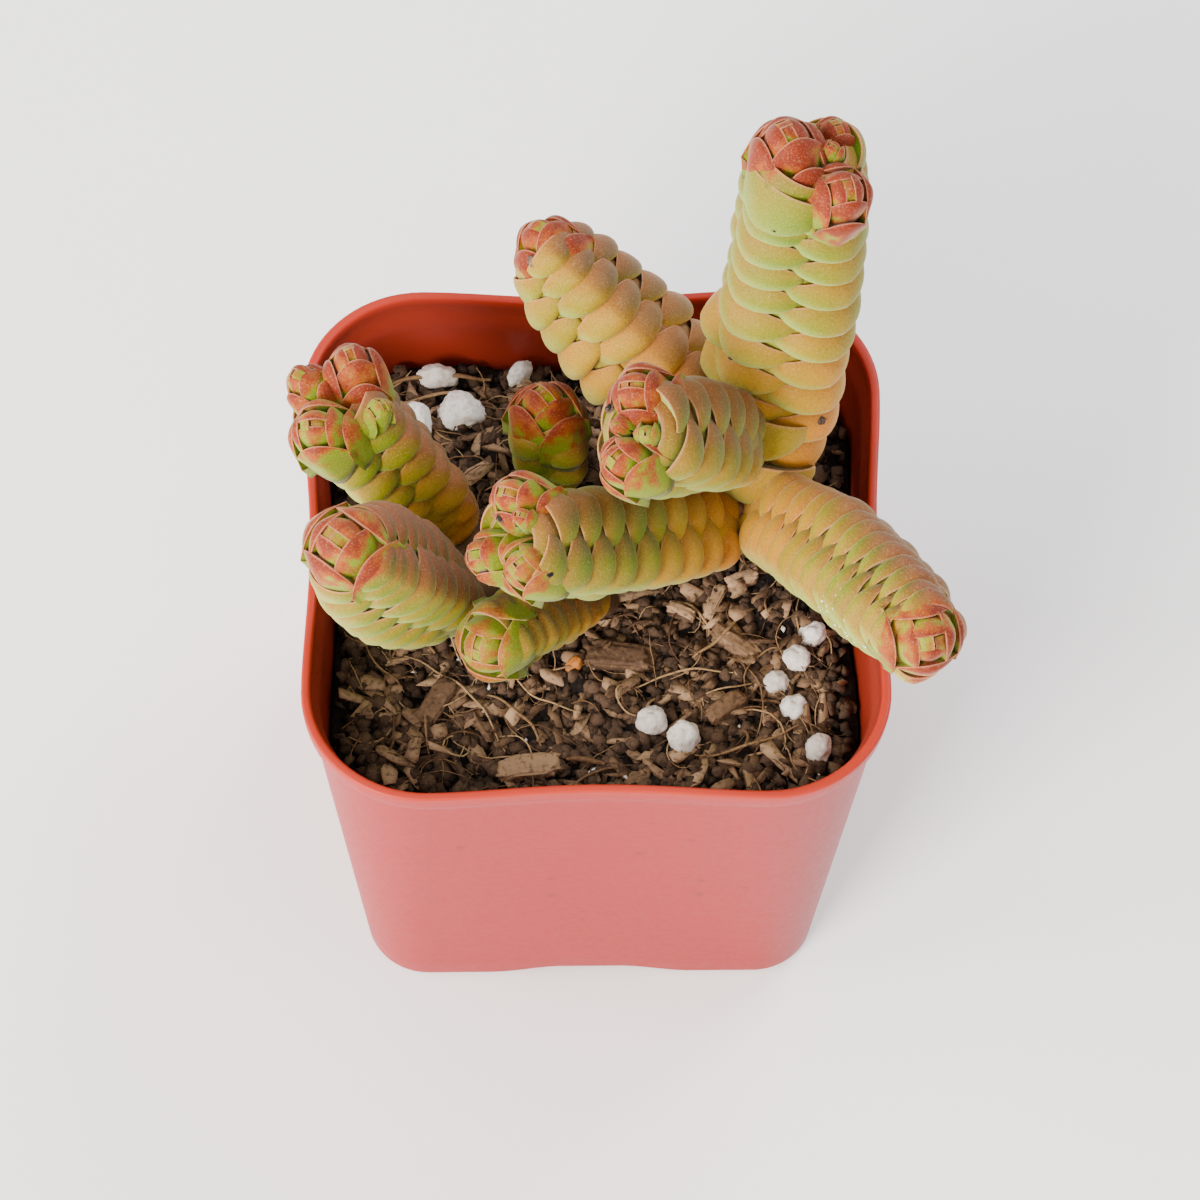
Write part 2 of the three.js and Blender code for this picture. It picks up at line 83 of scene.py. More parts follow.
def add(tree: bpy.types.NodeTree, kind: str, inputs: dict | None = None, out: int | str | None = 0,
        stops: Sequence[tuple[float, str]] = (), **settings: Any) -> Any:
    """Adds a node with its settings and links.

    Args:
        tree: the node tree.
        kind: the node's type name.
        inputs: input name or number to a value, a hex colour, or the socket that it is linked to.
        out: name or number of the output that is handed back, or None for the node itself.
        stops: places and hex colours of a colour ramp.
        **settings: properties of the node.

    Returns:
        The chosen output of the new node, or the node.
    """
    node = tree.nodes.new(kind)
    for key, value in settings.items():
        setattr(node, key, value)
    for key, value in (inputs or {}).items():
        socket = node.inputs[key]
        if isinstance(value, bpy.types.NodeSocket):
            tree.links.new(value, socket)
        else:
            socket.default_value = srgb(value) if socket.type == "RGBA" else value
    for number, (at, code) in enumerate(stops):
        if number >= len(node.color_ramp.elements):
            node.color_ramp.elements.new(at)
        node.color_ramp.elements[number].position = at
        node.color_ramp.elements[number].color = srgb(code)
    return node if out is None else node.outputs[out]


def smooth(x: float | np.ndarray, low: float, high: float) -> float | np.ndarray:
    """Eases from 0 at low to 1 at high."""
    t = np.clip((x - low) / (high - low), 0, 1)
    return t * t * (3 - 2 * t)


def put(name: str, data: bpy.types.ID) -> bpy.types.Object:
    """Makes an object and links it to the scene.

    Args:
        name: the object's name.
        data: its mesh, camera or light.

    Returns:
        The object.
    """
    made = bpy.data.objects.new(name, data)
    bpy.context.scene.collection.objects.link(made)
    return made


def frozen(source: bpy.types.Object) -> bpy.types.Mesh:
    """A new mesh of an object as its modifiers leave it."""
    graph = bpy.context.evaluated_depsgraph_get()
    return bpy.data.meshes.new_from_object(source.evaluated_get(graph), depsgraph=graph)


def mesh_object(name: str, points: np.ndarray, faces: Sequence[Face],
                material: bpy.types.Material | None = None, values: dict[str, Row] | None = None,
                edges: Sequence[Face] = ()) -> bpy.types.Object:
    """Makes a smooth shaded mesh object with its place in its mesh.

    Args:
        name: name of the object and of its mesh.
        points: an array of positions in metres.
        faces: corner numbers of each face.
        material: the finish, if it has one yet.
        values: names and values of float attributes on the points.
        edges: ends of each edge, where there are no faces.

    Returns:
        The object, linked to the scene.
    """
    mesh = bpy.data.meshes.new(name)
    mesh.from_pydata(np.asarray(points).tolist(), list(edges), list(faces))
    for key, value in (values or {}).items():
        layer = mesh.attributes.new(key, "FLOAT", "POINT")
        layer.data.foreach_set("value", np.asarray(value, dtype=np.float32))
    mesh.shade_smooth()
    if material:
        mesh.materials.append(material)
    return put(name, mesh)


def ring_faces(rings: int, count: int, floored: bool = True) -> list[Face]:
    """Faces between rings of points, with a cap over the last ring.

    Args:
        rings: number of rings.
        count: points in each ring.
        floored: whether the first ring has a cap too.

    Returns:
        Corner numbers of each face.
    """
    walls = [(i + j, i + (j + 1) % count, i + count + (j + 1) % count, i + count + j)
             for i in range(0, (rings - 1) * count, count) for j in range(count)]
    last = (rings - 1) * count
    foot = [tuple(range(count))[::-1]] if floored else []
    return foot + walls + [tuple(range(last, last + count))]


def laid(local: np.ndarray, at: Row, degrees: float) -> np.ndarray:
    """Turns points about Z and moves them to their place."""
    c, s = math.cos(math.radians(degrees)), math.sin(math.radians(degrees))
    return local @ np.array([[c, s, 0], [-s, c, 0], [0, 0, 1]]) + at


def bake_nodes(carrier: bpy.types.Object, group: bpy.types.NodeTree, inputs: dict[str, Any],
               name: str) -> bpy.types.Object:
    """Runs a geometry tree on an object and keeps the result as a plain mesh.

    Args:
        carrier: the object that the tree starts from; it is removed afterwards.
        group: the geometry tree.
        inputs: values of the tree's inputs by name.
        name: name of the finished piece.

    Returns:
        The finished piece.
    """
    modifier = carrier.modifiers.new("nodes", "NODES")
    modifier.node_group = group
    for item in group.interface.items_tree:
        if item.in_out == "INPUT" and item.name in inputs:
            modifier[item.identifier] = inputs[item.name]
    mesh = frozen(carrier)
    mesh.name = name
    bpy.data.objects.remove(carrier)
    return put(name, mesh)


def strand_piece(name: str, runs: Sequence[tuple[Sequence[Row], np.ndarray, float]], sides: int,
                 material: bpy.types.Material) -> bpy.types.Object:
    """Gives runs of points a round thickness and keeps them as one plain mesh.

    Args:
        name: name of the finished piece.
        runs: for each strand its points and half widths in millimetres, and its shade.
        sides: sides of its cross-section.
        material: the finish.

    Returns:
        The finished piece.
    """
    points, edges, widths, seeds = [], [], [], []
    for run, width, tone in runs:
        edges += [(k, k + 1) for k in range(len(points), len(points) + len(run) - 1)]
        points += list(run)
        widths += list(width * MM)
        seeds += [tone] * len(run)
    values = {"width": widths, "seed": seeds}
    paths = mesh_object(name + "_paths", np.array(points) * MM, [], None, values, edges)
    return bake_nodes(paths, Scatter.strands(), {"Sides": sides, "Material": material}, name)


def finish_piece(piece: bpy.types.Object, slot: str, nodes: Sequence[str] = ()) -> None:
    """Rides a piece on the plant's one body, logs its slot, and hides the nodes that it stands for.

    Args:
        piece: the finished piece.
        slot: the record's material slot.
        nodes: the frame's nodes that it replaces.
    """
    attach(piece, "root")
    if nodes:
        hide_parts(*nodes)
    LOG.info("%s: %d faces, slot %s", piece.name, len(piece.data.polygons), slot)


class Scatter:
    """Geometry trees that repeat small shapes, on given points or over a surface."""

    @staticmethod
    def start(name: str, inputs: dict[str, str]) -> tuple[Callable[..., Any], Any]:
        """Opens a geometry tree.

        Args:
            name: the tree's name.
            inputs: name and socket type of each input after the geometry.

        Returns:
            What adds a node to the tree, and the outputs of its group input.
        """
        group = bpy.data.node_groups.new(name, "GeometryNodeTree")
        group.interface.new_socket("Geometry", in_out="INPUT", socket_type="NodeSocketGeometry")
        for label, kind in inputs.items():
            group.interface.new_socket(label, in_out="INPUT", socket_type="NodeSocket" + kind)
        group.interface.new_socket("Geometry", in_out="OUTPUT", socket_type="NodeSocketGeometry")
        new = partial(add, group)
        return new, new("NodeGroupInput", out=None).outputs

    @staticmethod
    def close(new: Callable[..., Any], geometry: bpy.types.NodeSocket,
              material: bpy.types.NodeSocket) -> bpy.types.NodeTree:
        """Ends a tree in Realize Instances, Set Shade Smooth and Set Material.

        Args:
            new: what adds a node to the tree.
            geometry: the geometry so far.
            material: the material to set.

        Returns:
            The finished tree.
        """
        real = new("GeometryNodeRealizeInstances", {"Geometry": geometry})
        soft = new("GeometryNodeSetShadeSmooth", {"Geometry": real})
        dressed = new("GeometryNodeSetMaterial", {"Geometry": soft, "Material": material})
        return new("NodeGroupOutput", {"Geometry": dressed}, out=None).id_data

    @staticmethod
    def place(new: Callable[..., Any], given: Any, turn: bpy.types.NodeSocket, reach: bpy.types.NodeSocket,
              inputs: dict[str, Any]) -> bpy.types.NodeSocket:
        """Puts one of the tree's shapes on each point, tilted at random about its own axes.

        Args:
            new: what adds a node to the tree.
            given: outputs of the group input, among them Shapes and Seed.
            turn: the rotation before the tilt.
            reach: the greatest tilt to either side, in radians.
            inputs: the points, their scale, and their choice of shape if it isn't random.

        Returns:
            The placed shapes.
        """
        shapes = new("GeometryNodeCollectionInfo", {
            "Collection": given["Shapes"], "Separate Children": True, "Reset Children": True})
        low = new("ShaderNodeMath", {0: reach, 1: -1.0}, operation="MULTIPLY")
        tilt = new("FunctionNodeRandomValue", {"Min": low, "Max": reach, "Seed": given["Seed"]}, **VECTOR)
        turned = new("FunctionNodeRotateRotation", {"Rotation": turn, "Rotate By": tilt},
                     rotation_space="LOCAL")
        return new("GeometryNodeInstanceOnPoints", {
            "Instance": shapes, "Pick Instance": True, "Rotation": turned, **inputs})

    @classmethod
    def on_points(cls) -> bpy.types.NodeTree:
        """Tree that puts a shape of a collection on each point, turned and sized by the point's attributes.

        Returns:
            The tree, with the inputs Shapes, Wobble, Seed and Material.
        """
        new, given = cls.start("shapes on points", {
            "Shapes": "Collection", "Wobble": "Float", "Seed": "Int", "Material": "Material"})
        turn, size, shape = (
            new("GeometryNodeInputNamedAttribute", {"Name": key}, data_type=kind)
            for key, kind in (("turn", "QUATERNION"), ("size", "FLOAT_VECTOR"), ("shape", "INT")))
        placed = cls.place(new, given, turn, given["Wobble"], {
            "Points": given["Geometry"], "Instance Index": shape, "Scale": size})
        return cls.close(new, placed, given["Material"])

    @classmethod
    def over_surface(cls) -> bpy.types.NodeTree:
        """Tree that strews shapes of a collection over a surface, each with a random lie, size and shade.

        Returns:
            The tree, with the inputs Shapes, Density, Smallest, Largest, Tilt, Sink, Seed and Material.
        """
        new, given = cls.start("shapes over a surface", {
            "Shapes": "Collection", "Density": "Float", "Smallest": "Float", "Largest": "Float",
            "Tilt": "Float", "Sink": "Float", "Seed": "Int", "Material": "Material"})
        strewn = new("GeometryNodeDistributePointsOnFaces", {
            "Mesh": given["Geometry"], "Density": given["Density"], "Seed": given["Seed"]})
        whirl = new("FunctionNodeRandomValue", {
            "Min": (0.0, 0.0, 0.0), "Max": (0.0, 0.0, 2 * math.pi), "Seed": given["Seed"]}, **VECTOR)
        size, shade = (
            new("FunctionNodeRandomValue", {2: least, 3: most, "Seed": given["Seed"]}, out=1)
            for least, most in ((given["Smallest"], given["Largest"]), (0.0, 1.0)))
        toned = new("GeometryNodeStoreNamedAttribute", {"Geometry": strewn, "Name": "seed", "Value": shade},
                    data_type="FLOAT", domain="POINT")
        drop = new("ShaderNodeCombineXYZ", {"Z": given["Sink"]})
        lowered = new("GeometryNodeSetPosition", {"Geometry": toned, "Offset": drop})
        placed = cls.place(new, given, whirl, given["Tilt"], {"Points": lowered, "Scale": size})
        return cls.close(new, placed, given["Material"])

    @classmethod
    def strands(cls) -> bpy.types.NodeTree:
        """Tree that gives chains of edges a round thickness from their width attribute.

        Returns:
            The tree, with the inputs Sides and Material.
        """
        new, given = cls.start("strands", {"Sides": "Int", "Material": "Material"})
        curve = new("GeometryNodeMeshToCurve", {"Mesh": given["Geometry"]})
        width = new("GeometryNodeInputNamedAttribute", {"Name": "width"}, data_type="FLOAT")
        sized = new("GeometryNodeSetCurveRadius", {"Curve": curve, "Radius": width})
        ring = new("GeometryNodeCurvePrimitiveCircle", {"Resolution": given["Sides"], "Radius": 1.0})
        tube = new("GeometryNodeCurveToMesh", {
            "Curve": sized, "Profile Curve": ring, "Fill Caps": True, "Scale": width})
        return cls.close(new, tube, given["Material"])


def open_material(name: str) -> tuple[bpy.types.Material, Callable[..., Any], bpy.types.NodeSocket]:
    """Opens a material with an empty tree.

    Args:
        name: the finish's common name.

    Returns:
        The material, what adds a node to it, and its Object coordinates.
    """
    material = bpy.data.materials.new(name)
    material.use_nodes = True
    material.node_tree.nodes.clear()
    new = partial(add, material.node_tree)
    return material, new, new("ShaderNodeTexCoord", out="Object")


def close_material(new: Callable[..., Any], inputs: dict[str, Any]) -> None:
    """Ends a material in one surface.

    Args:
        new: what adds a node to the material.
        inputs: colour, roughness and whatever else the surface needs.
    """
    surface = new("ShaderNodeBsdfPrincipled", {"Specular IOR Level": 0.25, **inputs})
    new("ShaderNodeOutputMaterial", {"Surface": surface}, out=None)


@dataclass(frozen=True)
class Coat:
    """One layer of colour, laid where a value runs from low to high."""

    by: str
    low: float
    high: float
    amount: float
    colour: str
    times: str = ""


@dataclass(frozen=True)
class LeafFinish:
    """Crassula leaf skin: grown, covered in tiny papillae, so it looks velvety with pale rims."""

    hues: tuple[tuple[float, str], ...] = (
        (0.0, "507004"), (0.3, "727C06"), (0.6, "9E820C"), (0.85, "B88616"), (1.0, "C2801C"))
    coats: tuple[Coat, ...] = (
        # painted olive brown on the side that faces the sun, and purple grey along the very top: partly sun
        # tan, partly painted shade on the upper sides
        Coat("sun", 0.15, 0.85, 0.76, "453A18", "tan"),
        Coat("sun", 0.62, 1.0, 0.68, "664238", "tan"),
        # painted cream green on the undersides that face away from the sun: partly their own paler colour,
        # partly painted light bounced up from the pale floor
        Coat("sun", -0.05, -0.75, 0.62, "A2BE64"),
        # the upper part of each leaf warms to peach, most of all along its keel
        Coat("rise", 0.50, 0.97, 0.36, "A8521E"),
        Coat("keel", 0.6, 1.0, 0.22, "A4522C"),
        # heads: green hearts under red tips, in soft blotches
        Coat("along", 1.00, 1.10, 0.75, "74820C"),
        Coat("tips", 0.05, 0.50, 0.90, "96380C", "flush"),
        Coat("tips", 0.42, 0.85, 0.76, "6C100C", "flush"),
        # the free margin is a pale line; the fold at the foot of a leaf is painted dark olive, painted shade
        # in the crease beneath the belly
        Coat("rise", 0.93, 1.0, 0.60, "CC8A68"),
        Coat("rise", 0.16, 0.0, 0.85, "3A4408"),
        # papillae: pale dots on a slightly darker ground, drawn coarser than life so that they show
        Coat("dots", 0.54, 0.74, 0.13, "D8C68C"),
        Coat("dots", 0.46, 0.28, 0.30, "40310C"))

    def material(self) -> bpy.types.Material:
        """Builds the leaf material from the attributes that each leaf carries.

        Returns:
            The material.
        """
        made, new, place = open_material("velvety papillose leaf")
        values = {key: new("ShaderNodeAttribute", out="Fac", attribute_name=key)
                  for key in ("along", "rise", "across", "warm", "sun", "tan", "red")}
        blotch, broad, values["dots"] = (
            new("ShaderNodeTexNoise", {"Vector": place, "Scale": 1 / (size * MM), "Detail": detail})
            for size, detail in ((1.7, 2.0), (5.0, 1.0), (0.17, 1.0)))
        values["keel"] = new("ShaderNodeMath", {0: 1.0, 1: values["across"]}, operation="SUBTRACT")
        # red blotches spread from the margin and the keel, only at the heads, and most on the redder ones
        tips = values["rise"]
        for value, gain, less in ((values["keel"], 0.35, 0.0), (values["along"], 5.0, 6.1),
                                  (values["red"], 0.8, 1.2), (blotch, 1.8, 0.0)):
            share = new("ShaderNodeMath", {0: value, 1: gain, 2: -less}, operation="MULTIPLY_ADD")
            tips = new("ShaderNodeMath", {0: tips, 1: share}, operation="ADD")
        values["tips"] = tips
        values["flush"] = new("ShaderNodeMath", {0: values["red"], 1: 2.5}, operation="MULTIPLY",
                              use_clamp=True)
        drift = new("ShaderNodeMath", {0: broad, 1: 0.5, 2: -0.25}, operation="MULTIPLY_ADD")
        hue = new("ShaderNodeMath", {0: values["warm"], 1: drift}, operation="ADD")
        colour = new("ShaderNodeValToRGB", {"Fac": hue}, stops=self.hues)
        for coat in self.coats:
            share = new("ShaderNodeMapRange", {"Value": values[coat.by], "From Min": coat.low,
                                               "From Max": coat.high, "To Max": coat.amount}, **EASE)
            if coat.times:
                share = new("ShaderNodeMath", {0: share, 1: values[coat.times]}, operation="MULTIPLY")
            colour = new("ShaderNodeMix", {0: share, 6: colour, 7: coat.colour}, **PAINT)
        soft = new("ShaderNodeBump", {"Height": broad, "Distance": 0.4 * MM, "Strength": 0.4})
        velvet = new("ShaderNodeBump", {
            "Height": values["dots"], "Distance": 0.05 * MM, "Strength": 0.7, "Normal": soft})
        close_material(new, {
            "Base Color": colour, "Normal": velvet, "Roughness": 0.6, "IOR": 1.4,
            "Sheen Weight": 0.22, "Sheen Roughness": 0.4, "Sheen Tint": "F6EBD6",
            "Subsurface Weight": 0.10, "Subsurface Scale": 0.5 * MM, "Subsurface Radius": (1.0, 0.8, 0.25)})
        return made


@dataclass(frozen=True)
class PotFinish:
    """Polypropylene, injection moulded with a satin tool: soft broad sheen, chalked by the sun outside."""

    outside: str = "940A10"
    # the inside is painted more orange than the outside: painted light, the glow of light through the thin
    # wall and bounced between the inner walls
    inside: str = "86281A"
    # the lip is painted a lighter orange: painted light where the thin rounded lip catches the light and
    # glows
    rim: str = "A82C1C"
    chalk: str = "96161A"
    blot: str = "6A0806"
    spots_mm: tuple[tuple[float, float, float], ...] = (
        (-13.2, 36.0, 0.5), (-4.2, 26.5, 0.45), (-4.2, 22.0, 0.6), (9.2, 37.0, 0.4), (4.4, 33.0, 0.55),
        (10.6, 26.2, 0.5), (10.3, 22.4, 0.6), (14.8, 24.5, 0.4), (5.4, 41.0, 0.35))

    def material(self) -> bpy.types.Material:
        """Builds the pot material.

        Returns:
            The material.
        """
        made, new, place = open_material("moulded polypropylene")
        inside, rim = (new("ShaderNodeAttribute", out="Fac", attribute_name=key) for key in ("inside", "rim"))
        cloud, scuff, tool = (
            new("ShaderNodeTexNoise", {"Vector": place, "Scale": 1 / (size * MM), "Detail": detail})
            for size, detail in ((9.0, 3.0), (0.7, 3.0), (0.25, 1.0)))
        faded = new("ShaderNodeMapRange", {
            "Value": cloud, "From Min": 0.4, "From Max": 0.75, "To Max": 0.2}, **EASE)
        colour = new("ShaderNodeMix", {0: faded, 6: self.outside, 7: self.chalk}, **PAINT)
        # painted light: the inside wall and the lip take the colours of their glow through these two masks
        colour = new("ShaderNodeMix", {0: inside, 6: colour, 7: self.inside}, **PAINT)
        colour = new("ShaderNodeMix", {0: rim, 6: colour, 7: self.rim}, **PAINT)
        flat = new("ShaderNodeVectorMath", {0: place, 1: (1.0, 0.0, 1.0)}, operation="MULTIPLY")
        depth = new("ShaderNodeSeparateXYZ", {0: place}, out="Y")
        front = new("ShaderNodeMapRange", {
            "Value": depth, "From Min": -15 * MM, "From Max": -20 * MM, "To Max": 0.6}, **EASE)
        for x, z, r in self.spots_mm:
            # specks of unmixed pigment, drawn as soft dots on the front wall only
            far = new("ShaderNodeVectorMath", {0: flat, 1: (x * MM, 0.0, z * MM)}, out="Value",
                      operation="DISTANCE")
            near = new("ShaderNodeMapRange", {
                "Value": far, "From Min": 1.6 * r * MM, "From Max": 0.2 * r * MM}, **EASE)
            share = new("ShaderNodeMath", {0: near, 1: front}, operation="MULTIPLY")
            colour = new("ShaderNodeMix", {0: share, 6: colour, 7: self.blot}, **PAINT)
        rough = new("ShaderNodeMapRange", {"Value": scuff, "To Min": 0.34, "To Max": 0.5})
        wave = new("ShaderNodeBump", {"Height": cloud, "Distance": 0.15 * MM, "Strength": 0.25})
        satin = new("ShaderNodeBump", {
            "Height": tool, "Distance": 0.01 * MM, "Strength": 0.35, "Normal": wave})
        close_material(new, {
            "Base Color": colour, "Normal": satin, "Roughness": rough, "IOR": 1.49,
            "Subsurface Weight": 0.06, "Subsurface Scale": 1.0 * MM, "Subsurface Radius": (1.0, 0.3, 0.2)})
        return made


@dataclass(frozen=True)
class GritFinish:
    """A finish for loose bits: a band of natural shades, one for each bit, over a fine grain."""

    name: str
    shades: tuple[str, ...]
    grain_mm: float
    relief_mm: float
    roughness: float = 0.9

    def material(self) -> bpy.types.Material:
        """Builds the material, which takes each bit's shade from its seed attribute.

        Returns:
            The material.
        """
        made, new, place = open_material(self.name)
        seed = new("ShaderNodeAttribute", out="Fac", attribute_name="seed")
        last = max(len(self.shades) - 1, 1)
        colour = new("ShaderNodeValToRGB", {"Fac": seed},
                     stops=[(i / last, code) for i, code in enumerate(self.shades)])
        fine = new("ShaderNodeTexNoise", {"Vector": place, "Scale": 1 / (self.grain_mm * MM), "Detail": 3.0})
        for low, high, amount, code in ((0.5, 0.3, 0.6, self.shades[0]), (0.55, 0.75, 0.3, self.shades[-1])):
            share = new("ShaderNodeMapRange", {
                "Value": fine, "From Min": low, "From Max": high, "To Max": amount}, **EASE)
            colour = new("ShaderNodeMix", {0: share, 6: colour, 7: code}, **PAINT)
        relief = new("ShaderNodeBump", {"Height": fine, "Distance": self.relief_mm * MM, "Strength": 0.8})
        close_material(new, {"Base Color": colour, "Normal": relief, "Roughness": self.roughness})
        return made


# the body of the mix is darker than the loose bits strewn on it, and dull
SOIL = GritFinish("damp potting mix", ("0D0907", "1B130F", "33261D"), 0.6, 0.25, 0.95)
# peat and coir crumbs are matt and fibrous where they broke
CRUMB = GritFinish("peat and coir crumbs", ("150E0A", "281C14", "423024", "5C4636"), 0.35, 0.12)
# bark split along its grain shows paler inner faces beside dark weathered ones
CHIPS = GritFinish("split bark", ("2E1F16", "4C3628", "6C513B", "927256", "B08E6E"), 0.5, 0.10, 0.8)
# coir fibre is retted husk, wiry with a faint dry shine
FIBRE = GritFinish("coir fibre", ("483022", "6C4E34", "90704E", "B4946C"), 0.4, 0.03, 0.75)
# heat blown perlite is chalky white and pitted
PERLITE = GritFinish("expanded perlite", ("B8ABA2", "DCD2CA", "F4F0EC"), 0.45, 0.16, 0.9)
# old crassula stem is cork, grey brown and finely wrinkled
STEM = GritFinish("corky succulent stem", ("40301F", "5E452F", "826544"), 0.7, 0.15)
# a leaf that dried on the plant is papery and wrinkled
DRY = GritFinish("dried leaf", ("5B3226", "8A5240", "BD8268", "D3A184"), 0.5, 0.08, 0.7)
# callus over an old wound is dark and rough
SCAR = GritFinish("scar callus", ("0E0A09", "241913", "5B4436", "C8AE98"), 0.2, 0.05, 0.7)
# leaf wax comes off as a white dust that stays matt
WAX = GritFinish("leaf wax dust", ("E8E6DC", "FBFAF4"), 0.2, 0.02, 0.9)
# a crumb of bark that dried out keeps its amber inside
AMBER = GritFinish("dry amber bark", ("7A4018", "B06A2C", "D89858"), 0.4, 0.08, 0.7)


def through(three: Sequence[float], t: float) -> float:
    """Value at t of the quadratic that passes three stations at 0, a half and 1."""
    return three[0] * (1 - t) * (1 - 2 * t) + three[1] * 4 * t * (1 - t) + three[2] * t * (2 * t - 1)


@dataclass
class Axis:
    """A place on a shoot, with the directions that its leaves are set out from."""

    origin: Vector
    ahead: Vector

    def __post_init__(self) -> None:
        """Finds the side that looks forward and up, and the side beside it."""
        self.ahead = self.ahead.normalized()
        level = FORWARD_AND_UP - self.ahead * FORWARD_AND_UP.dot(self.ahead)
        self.facing = level.normalized()
        self.aside = self.ahead.cross(self.facing)

    def turned(self, degrees: float, lean: float = 0.0) -> Matrix:
        """Rotation of a leaf whose x points outward and z along the axis.

        Args:
            degrees: angle round the axis from the side that looks forward and up.
            lean: degrees that the leaf's tip leans outward.

        Returns:
            A 3 by 3 rotation.
        """
        a = math.radians(degrees)
        out = self.facing * math.cos(a) + self.aside * math.sin(a)
        side = self.ahead.cross(out)
        turn = Matrix((out, side, self.ahead)).transposed()
        return turn @ Matrix.Rotation(math.radians(lean), 3, "Y")


class LeafShape(Enum):
    """The shapes that a shoot is put together from; the value is its place in the library."""

    BODY_A = 0
    BODY_B = 1
    BODY_C = 2
    LAST = 3
    HEAD_0 = 4
    HEAD_1 = 5
    HEAD_2 = 6
    HEAD_3 = 7
    HEAD_4 = 8
    CORE = 9


@dataclass(frozen=True)
class HeadPair:
    """One pair of a head: its reach, half slot, half width, height of its foot and rise above the dome."""

    reach: float
    gap: float
    half: float
    foot: float
    over: float


